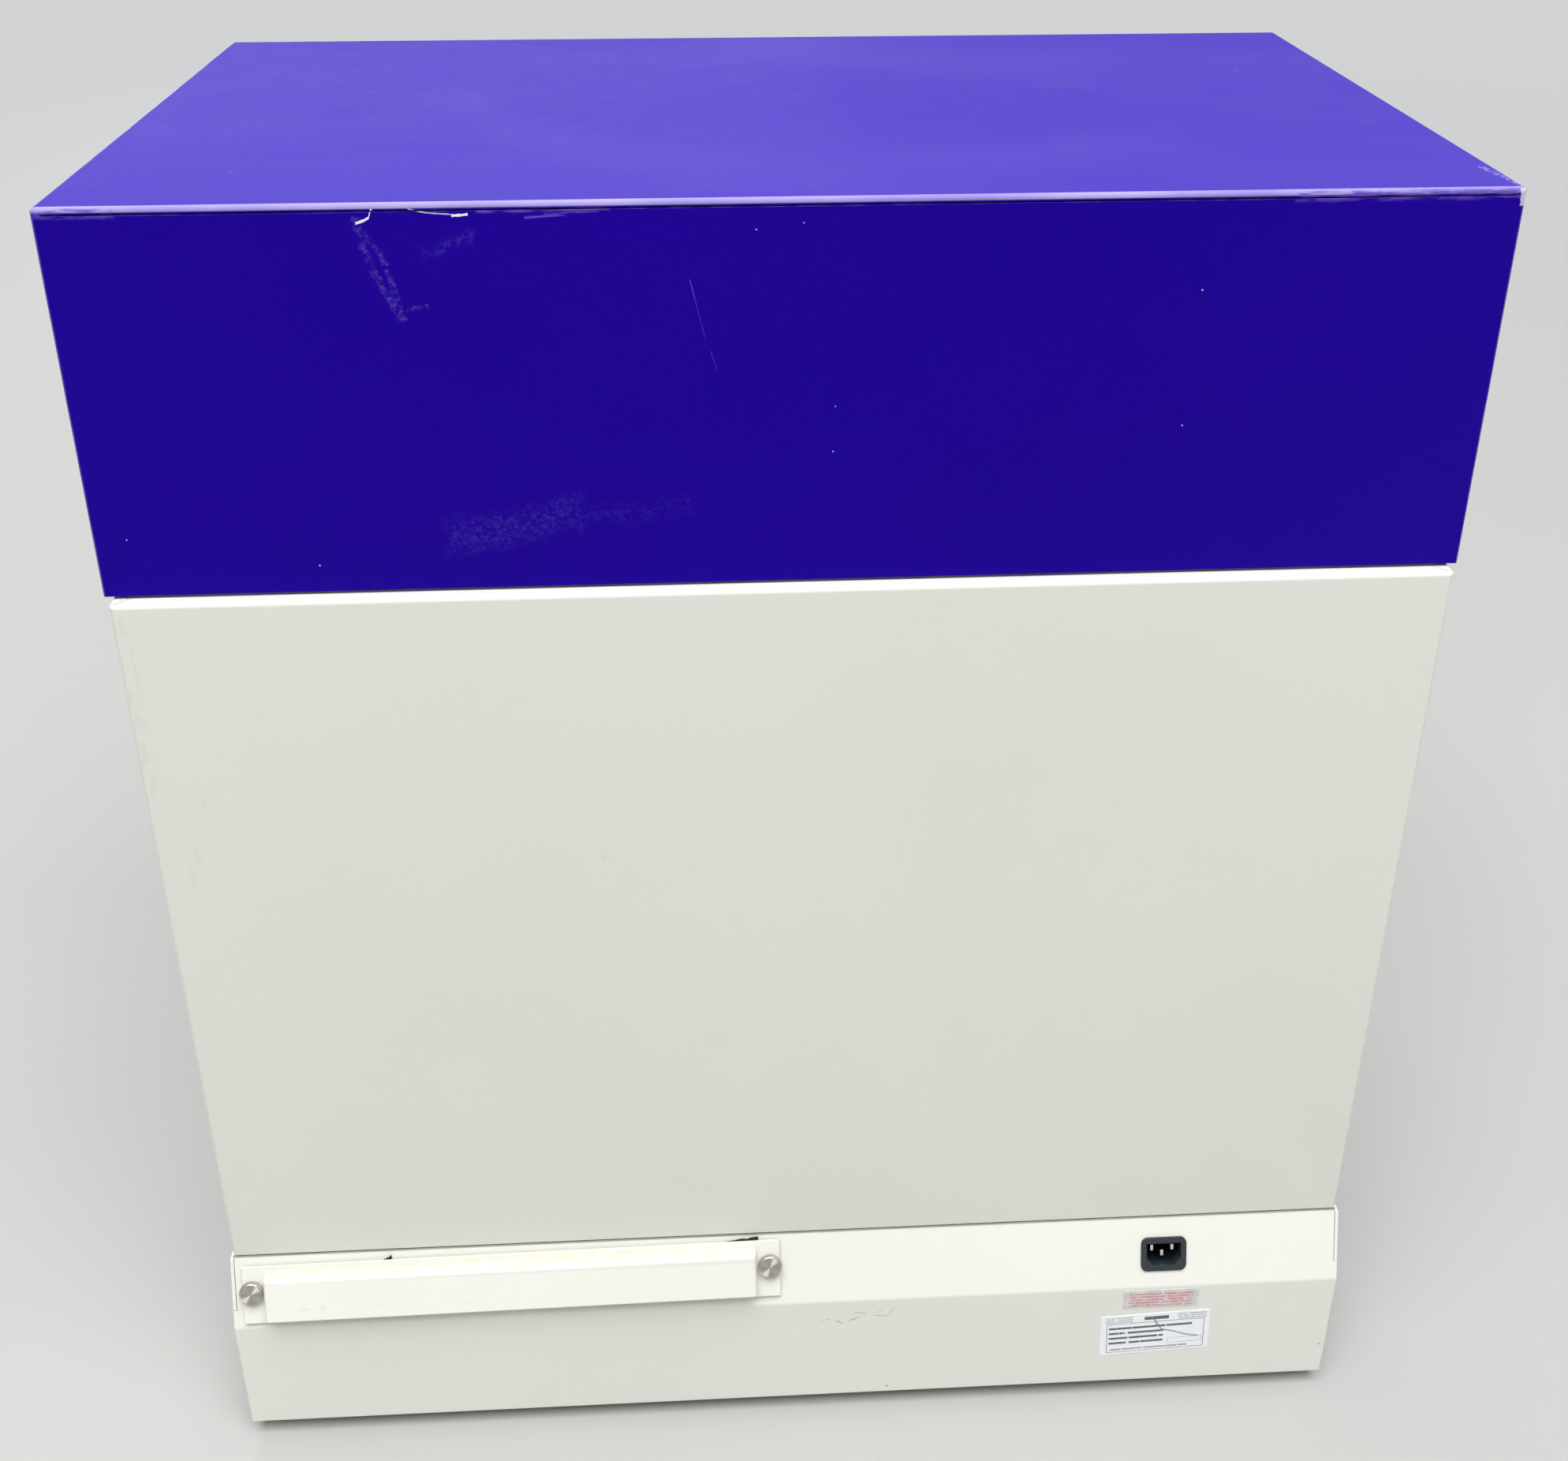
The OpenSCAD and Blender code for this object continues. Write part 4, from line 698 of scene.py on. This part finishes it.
def paper():
    m = Mat("filter_paper", rough=0.9, spec=0.1)
    fibres = m.noise(1.0, detail=6.0, rough=0.75, at=m.stretched(900.0, 900.0, 260.0))
    base = srgb(240, 239, 231)
    m.set("Base Color", m.mix(m.ramp(fibres, 0.35, 0.7), base, times(base, 0.85)))
    m.bump(fibres, 0.05, 0.6)
    return m


def board():
    """Particle board: pale chips in a darker ground."""
    m = Mat("filter_board", rough=0.75, spec=0.25)
    chips = m.cells(210.0)
    fine = m.noise(600.0, detail=4.0)
    shade = m.mix(m.ramp(chips, 0.15, 0.6), srgb(206, 176, 130), srgb(162, 126, 84))
    m.set("Base Color", m.mix(m.ramp(fine, 0.55, 0.7, 0.0, 0.4), shade, srgb(118, 88, 58)))
    m.bump(chips, 0.08, 0.5)
    return m


def label_film():
    """Rating label with a frame, plain dashes and a blank box; above it a pale film with pink dashes."""
    m = Mat("label_film", spec=0.45)
    tilt = math.radians(LABEL_TILT)
    right = Vector((-math.cos(tilt), 0, math.sin(tilt)))
    up = Vector((math.sin(tilt), 0, math.cos(tilt)))
    u, v = m.local(Vector((LABEL_AT[0], 0, LABEL_AT[1])) * MM, right, up)
    outline = m.border(u, v, (0.5, -3.0), (68, 28), 0.45)
    header = m.bar(u, v, (1, 14.5), (17, 3.2))
    blank_box = m.product(m.border(u, v, (21, -9), (24, 5), 0.3), 0.7)
    ink = m.most(outline, header, blank_box)
    # Blocks of dashes: centre, size, rows, inked share of a row, seed, and how dark they are
    blocks = [((-25, 14.5), (19, 6), 3, 0.5, 1.0, 0.55),
              ((26, 14.5), (20, 6), 3, 0.5, 2.0, 0.55),
              ((-13, -0.8), (38, 19), 4, 0.42, 3.0, 1.0),
              ((16, 6.3), (20, 4.75), 1, 0.42, 5.0, 1.0),
              ((-4, -14.4), (54, 2.4), 1, 0.6, 4.0, 0.7)]
    for *layout, dark in blocks:
        ink = m.most(ink, m.product(m.dashes(u, v, *layout), dark))
    rub = m.most(m.stroke((u, v), [(-1, 14), (2, 7), (5, 2.5)], 0.5, 0.5, ragged=1.0),
                 m.stroke((u, v), [(5, 2.5), (13, 0), (21, -4), (30, -6.5)], 0.4, 0.5, ragged=1.0))
    white = m.mix(m.ramp(m.noise(30.0, detail=4.0), 0.3, 0.7), srgb(248, 251, 254), srgb(240, 243, 248))
    main = m.mix(m.product(ink, m.ramp(m.noise(900.0), 0.25, 0.45, 0.55, 0.9)), white, srgb(38, 40, 46))
    main = m.mix(m.product(rub, 0.75), main, srgb(120, 120, 122))
    nu, nv = m.local(Vector((NOTICE_AT[0], 0, NOTICE_AT[1])) * MM, -X, Z)
    pink = m.product(m.dashes(nu, nv, (0, -0.5), (44, 13.5), 5, 0.62, 6.0),
                     m.ramp(m.noise(500.0), 0.3, 0.6, 0.3, 0.75))
    film = m.mix(m.ramp(m.noise(120.0, detail=4.0), 0.4, 0.65), srgb(206, 203, 204), srgb(222, 221, 219))
    film = m.mix(pink, film, srgb(214, 108, 124))
    upper = m.past("Z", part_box("rear_labels")[1].z - (NOTICE_H + 0.5) * MM)
    m.set("Base Color", m.mix(upper, main, film))
    m.set("Roughness", m.ramp(m.noise(60.0), 0.3, 0.7, 0.35, 0.5))
    m.bump(m.math("SUBTRACT", 1.0, rub), 0.05, 0.5)
    m.bump(m.noise(160.0), 0.02, 0.2)
    return m


def overlay_film():
    """Grey-blue control overlay with a frame line, tick marks round both dials and plain dashes."""
    m = Mat("overlay_film", spec=0.4)
    centre = middle("control_overlay")
    u, v = m.local(centre, X, FRONT_UP)
    ink = m.border(u, v, (0, 0), (292, 42), 0.5)
    for dial, ring_radius in DIAL_RINGS.items():
        du, dv = m.local(joint(dial)[0], X, FRONT_UP)
        radius = m.math("SQRT", m.math("ADD", m.product(du, du), m.product(dv, dv)))
        turn = m.math("DIVIDE", m.math("ARCTAN2", du, dv), math.radians(DIAL_STEP))
        # Whole steps away from the top carry a mark; adding 20.5 keeps the count positive and puts each
        # mark in the middle of its step
        tick = m.math("COMPARE", m.math("FRACT", m.math("ADD", turn, 20.5)), 0.5, 0.05)
        around = m.math("COMPARE", radius, ring_radius, 1.3)
        zone = m.math("LESS_THAN", m.math("ABSOLUTE", turn), -DIAL_ZERO / DIAL_STEP + 0.02)
        ink = m.most(ink, m.product(tick, around, zone))
    for x in SWITCH_X:
        ink = m.most(ink, m.bar(u, v, (x - centre.x / MM, 18.6), (12, 1.2)))
    base = m.mix(m.ramp(m.noise(8.0), 0.3, 0.7), srgb(158, 165, 184), srgb(150, 157, 178))
    m.set("Base Color", m.mix(ink, base, srgb(38, 30, 96)))
    m.set("Roughness", m.ramp(m.noise(50.0), 0.3, 0.7, 0.38, 0.5))
    m.bump(m.noise(1400.0), 0.02, 0.4)
    return m


coat(white_paint("white_powder_coat"),
     "base_floor", "base_shell", "base_front_cover", "rear_liner", "door_header", "diffuser_grille")
# The rear panel's coat is the same white darkened to 0.91: painted shade, not a different paint
coat(white_paint("white_powder_coat_panel", panel_marks, 0.91), "rear_panel")
coat(white_paint("white_powder_coat_base", cover_marks), "base_rear_cover")
coat(white_paint("white_powder_coat_intake", intake_marks), "prefilter_cover")
coat(violet_paint(), "hood_shell", "hood_lid")
coat(moulded("white_plastic", (226, 226, 218), 0.42, wear=0.04),
     "side_frame_left", "side_frame_right", "lamp_holders", "interlock_plunger")
coat(moulded("black_plastic", (24, 24, 26), 0.4),
     "blower_housing", "blower_impeller", "switch_bezels", "timer_knob", "speed_knob", "interlock_switch")
coat(moulded("grey_plastic", (92, 94, 98), 0.5),
     "timer_body", "speed_control", "blower_inlet_ring", "light_switch")
coat(moulded("blue_plastic", (34, 66, 158), 0.35), "uv_switch")
coat(inlet_plastic(), "power_inlet")
coat(rubber("dark_rubber", (30, 30, 31)), "rubber_feet", "window_gaskets", "hepa_gasket", "blower_mounts")
coat(rubber("grey_gasket", (104, 106, 108), 0.85), "hood_gasket")
coat(foam("filter_foam", (40, 40, 42), 900.0), "prefilter_foam", "prefilter_gasket")
coat(zinc(), "foot_screws", "filter_deck", "filter_clamps", "lamp_ballasts", "riser_boot", "blower_motor")
coat(brushed("brushed_tray", srgb(196, 196, 194), (9.0, 900.0, 900.0), 0.33), "work_surface")
coat(brushed("stainless", srgb(202, 202, 204), (40.0, 1500.0, 1500.0), 0.25),
     "header_hinge_leaves", "header_hinge_pins", "upper_pane_hinge_leaves", "fold_hinge_pins",
     "lower_pane_hinge_leaves", "door_handle")
coat(brushed("aluminium_sheet", srgb(222, 223, 226), (16.0, 700.0, 700.0), 0.22),
     "lamp_reflectors", "lamp_end_caps")
coat(turned_steel("turned_steel_left", "left_screw_turn"), "thumb_screw_left")
coat(turned_steel("turned_steel_right", "right_screw_turn"), "thumb_screw_right")
coat(board(), "hepa_frame")
coat(paper(), "hepa_media")
coat(phosphor(), "white_tube")
coat(clear("clear_acrylic", (240, 247, 249)), "side_windows", "door_upper_pane", "door_lower_pane")
coat(clear("quartz_glass", (238, 243, 247), 0.03), "uv_tubes")
coat(overlay_film(), "control_overlay")
coat(label_film(), "rear_labels")

# ---------------------------------------------------------------- small pieces the frame leaves out


def piece(name, mesh, mat, body):
    """Puts a bmesh into the scene as a piece of a body."""
    data = bpy.data.meshes.new(name)
    mesh.to_mesh(data)
    mesh.free()
    made = bpy.data.objects.new(name, data)
    bpy.context.scene.collection.objects.link(made)
    data.materials.append(mat)
    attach(made, body)
    return made


def ring(mesh, centre, axis, radius, height, sides):
    """Circle of vertices about an axis."""
    side = axis.orthogonal().normalized()
    other = axis.cross(side)
    turns = [2 * math.pi * i / sides for i in range(sides)]
    return [mesh.verts.new(centre + axis * height + (side * math.cos(t) + other * math.sin(t)) * radius)
            for t in turns]


def lathe(mesh, centre, axis, profile):
    """Closed round solid; the profile lists radius and height in mm, from its foot to the last face."""
    sides = 24
    rings = [ring(mesh, centre, axis, r * MM, h * MM, sides) for r, h in profile]
    for low, high in zip(rings, rings[1:]):
        for i in range(sides):
            j = (i + 1) % sides
            mesh.faces.new((low[i], low[j], high[j], high[i]))
    mesh.faces.new(rings[0][::-1])
    mesh.faces.new(rings[-1])


def pan_head(mesh, centre, axis):
    """Low domed screw head with a round recess in its top."""
    radius, rim, height, steps = 3.1, 0.3, 1.3, 5
    angles = [math.radians(56) * i / steps for i in range(steps + 1)]
    dome = [(radius * math.cos(a), rim + height * math.sin(a)) for a in angles]
    top = dome[-1][1]
    socket = [(1.45, top), (1.35, top - 0.1), (1.35, 0.8)]
    lathe(mesh, centre, axis, [(radius, 0.0)] + dome + socket)


def hinge_screws(name, pin, side, body):
    """Two screw heads on each leaf of a pair of hinges, above or below their pin."""
    mesh = bmesh.new()
    leaf_face = reach("door_upper_pane", DOOR_N) + LEAF * MM
    row = pin + DOOR_UP * (side * SCREW_ROW * MM)
    row += DOOR_N * (leaf_face - row.dot(DOOR_N))
    for hinge_x in (-HINGE_X, HINGE_X):
        for x in (-SCREW_X, SCREW_X):
            pan_head(mesh, row + X * (hinge_x + x) * MM, DOOR_N)
    made = piece(name, mesh, NODES["door_handle"].data.materials[0], body)
    for polygon in made.data.polygons:
        polygon.use_smooth = True
    made.data.set_sharp_from_angle(angle=math.radians(35))


def torn_bit(mesh, left, right, top, foot, rnd):
    """Ragged sliver of foam on the rear slope above the intake cover, from x left to x right. Its foot
    and, at its left end, its crest lie foot and top mm down from the seam; the crest falls to the right."""
    steps, clear_of, least, thick = 9, 0.15, 0.25, 0.9
    low, high = [], []
    for i in range(steps + 1):
        t = i / steps
        x = left + (right - left) * t
        crest = (1 - t) * (foot - top) * rnd.uniform(0.6, 1.0)
        low.append(mesh.verts.new(rear_slope(x, foot, clear_of)))
        high.append(mesh.verts.new(rear_slope(x, foot - least - crest, clear_of + rnd.uniform(0.5, 1.0))))
    faces = [mesh.faces.new((low[i], low[i + 1], high[i + 1], high[i])) for i in range(steps)]
    made = bmesh.ops.extrude_face_region(mesh, geom=faces)
    lifted = [v for v in made["geom"] if isinstance(v, bmesh.types.BMVert)]
    bmesh.ops.translate(mesh, vec=SLOPE_N * thick * MM, verts=lifted)
    bmesh.ops.recalc_face_normals(mesh, faces=mesh.faces[:])


def gasket_bits():
    """Torn black foam that sticks out above the intake cover's flange."""
    rnd = random.Random(5)
    mesh = bmesh.new()
    for left, right, top, foot in ((23.5, 46, 1.0, 4.4), (267, 272, 3.2, 6.2)):
        torn_bit(mesh, left, right, top, foot, rnd)
    foam_mat = NODES["prefilter_gasket"].data.materials[0]
    piece("gasket_torn_edge", mesh, foam_mat, "intake_cover")


def pointer(name, dial, knob, body):
    """White inlay in the notch across a knob's rim, with its edges rounded."""
    pivot = joint(dial)[0]
    lo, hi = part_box(knob)
    radius = (hi.x - lo.x) / 2
    zero = math.radians(DIAL_ZERO)
    way = X * math.sin(zero) + FRONT_UP * math.cos(zero)
    side = way.cross(FRONT_N)
    notch, tall, half = 1.75 * MM, 1.55 * MM, 0.75 * MM
    inner, outer = radius - 8 * MM, radius - 2.9 * MM
    foot = pivot + FRONT_N * (reach(knob, FRONT_N) - pivot.dot(FRONT_N) - notch)
    outline = [foot + way * a + side * b
               for a, b in ((inner, -half), (outer, -half), (outer, half), (inner, half))]
    mesh = bmesh.new()
    face = mesh.faces.new([mesh.verts.new(p) for p in outline])
    made = bmesh.ops.extrude_face_region(mesh, geom=[face])
    lifted = [v for v in made["geom"] if isinstance(v, bmesh.types.BMVert)]
    bmesh.ops.translate(mesh, vec=FRONT_N * tall, verts=lifted)
    bmesh.ops.bevel(mesh, geom=mesh.edges[:], offset=0.12 * MM, segments=2, affect="EDGES")
    bmesh.ops.recalc_face_normals(mesh, faces=mesh.faces[:])
    piece(name, mesh, NODES["interlock_plunger"].data.materials[0], body)


hinge_screws("header_hinge_screws", UPPER_PIN, 1, "cabinet")
hinge_screws("upper_door_screws_top", UPPER_PIN, -1, "upper_door")
hinge_screws("upper_door_screws_low", LOWER_PIN, 1, "upper_door")
hinge_screws("lower_door_screws", LOWER_PIN, -1, "lower_door")
gasket_bits()
pointer("timer_pointer", "timer_turn", "timer_knob", "timer_dial")
pointer("speed_pointer", "speed_turn", "speed_knob", "speed_dial")

# ---------------------------------------------------------------- stage, light and camera

# The sky's light below the horizon and overhead, and the rise of its direction between which it grows;
# the backdrop's light and tint; distances in metres over which the floor turns into the backdrop
SKY_LOW, SKY_HIGH, SKY_RISE = 0.07, 0.56, (-0.1, 0.7)
BACKDROP, BACKDROP_TINT = 0.66, (0.97, 0.98, 1.0)
FLOOR_END = (1.3, 5.0)

# The camera's place, the way it looks and its upright, its lens in mm and how far the lens is shifted
CAMERA_AT = Vector((0.0480, 1.0963, 1.0984))
CAMERA_WAY, CAMERA_UP = Vector((-0.0495, -0.9004, -0.4323)), Vector((-0.0228, -0.4317, 0.9017))
LENS, SENSOR, SHIFT = 39.81, 36.0, (-0.0043, -0.1445)


def stage():
    """Plain pale floor that blends into the backdrop far behind the cabinet."""
    bpy.ops.mesh.primitive_plane_add(size=40, location=(0, 0, 0))
    floor = bpy.context.object
    floor.name = "floor"
    m = Mat("pale_floor", rough=0.7, spec=0.2)
    distance = m.vec("LENGTH", m.pos)
    colour = m.mix(m.noise(2.0), srgb(176, 176, 174), srgb(180, 180, 178))
    m.set("Base Color", m.mix(m.ramp(distance, 0.6, 5.0), colour, srgb(204, 204, 202)))
    backdrop = m.node("ShaderNodeEmission")
    m.put(times(BACKDROP_TINT, BACKDROP), backdrop.inputs["Color"])
    share = m.product(m.ramp(distance, *FLOOR_END), m.plain_sight())
    m.surface(m.blend(share, m.bsdf.outputs[0], backdrop.outputs[0]))
    floor.data.materials.append(m.mat)


def area(name, place, aim, size, power):
    """Rectangular lamp at a place, turned towards another, with its size in metres and its power in watts."""
    data = bpy.data.lights.new(name, "AREA")
    data.shape = "RECTANGLE"
    data.size, data.size_y = size
    data.energy = power
    lamp = bpy.data.objects.new(name, data)
    bpy.context.scene.collection.objects.link(lamp)
    lamp.location = place
    lamp.rotation_mode = "QUATERNION"
    lamp.rotation_quaternion = (Vector(aim) - Vector(place)).to_track_quat("-Z", "Y")


def sky():
    """Soft dome, brightest overhead; where it is in plain sight, the plain pale backdrop stands for it."""
    world = bpy.data.worlds.new("studio")
    bpy.context.scene.world = world
    world.use_nodes = True
    w = Nodes(world.node_tree)
    rise = w.part(w.node("ShaderNodeTexCoord").outputs["Generated"], "Z")
    dome = w.ramp(rise, *SKY_RISE, SKY_LOW, SKY_HIGH, shape="LINEAR")
    background = world.node_tree.nodes["Background"]
    w.put(BACKDROP_TINT, background.inputs["Color"])
    w.put(w.mix(w.plain_sight(), dome, BACKDROP, kind="FLOAT"), background.inputs["Strength"])


def lights():
    sky()
    area("overhead_rear", (0.0, 2.3, 5.7), (0, 0.3, 0.4), (5.0, 3.2), 440)
    area("overhead_front", (0.8, -2.6, 4.2), (0, -0.2, 0.4), (3.0, 2.4), 62)
    area("low_front", (1.2, -6.2, 0.6), (0, -0.2, 0.4), (3.6, 1.0), 58)


def camera():
    """Behind the cabinet, looking down on it, with the lens shifted as in an off-centre crop."""
    data = bpy.data.cameras.new("camera")
    cam = bpy.data.objects.new("camera", data)
    bpy.context.scene.collection.objects.link(cam)
    bpy.context.scene.camera = cam
    forward = CAMERA_WAY.normalized()
    right = forward.cross(CAMERA_UP).normalized()
    up = right.cross(forward)
    cam.matrix_world = Matrix((
        (right.x, up.x, -forward.x, CAMERA_AT.x),
        (right.y, up.y, -forward.y, CAMERA_AT.y),
        (right.z, up.z, -forward.z, CAMERA_AT.z),
        (0, 0, 0, 1)))
    data.sensor_width = SENSOR
    data.lens = LENS
    data.clip_start, data.clip_end = 0.05, 100
    for setting, amount in zip(("shift_x", "shift_y"), SHIFT):
        shift_at_home(cam, setting, amount)


def shift_at_home(cam, setting, amount):
    """Shifts the lens only while the camera stands at its own place, so that other views stay centred."""
    driver = cam.data.driver_add(setting).driver
    driver.type = "SCRIPTED"
    tests = []
    for axis, value in zip("XYZ", CAMERA_AT):
        variable = driver.variables.new()
        variable.name = axis.lower()
        variable.type = "TRANSFORMS"
        target = variable.targets[0]
        target.id = cam
        target.transform_type = "LOC_" + axis
        target.transform_space = "WORLD_SPACE"
        tests.append(f"abs({variable.name} - {value:.4f}) < 0.001")
    driver.expression = f"{amount} if {' and '.join(tests)} else 0.0"


stage()
lights()
camera()
bpy.context.scene.view_settings.view_transform = "Standard"
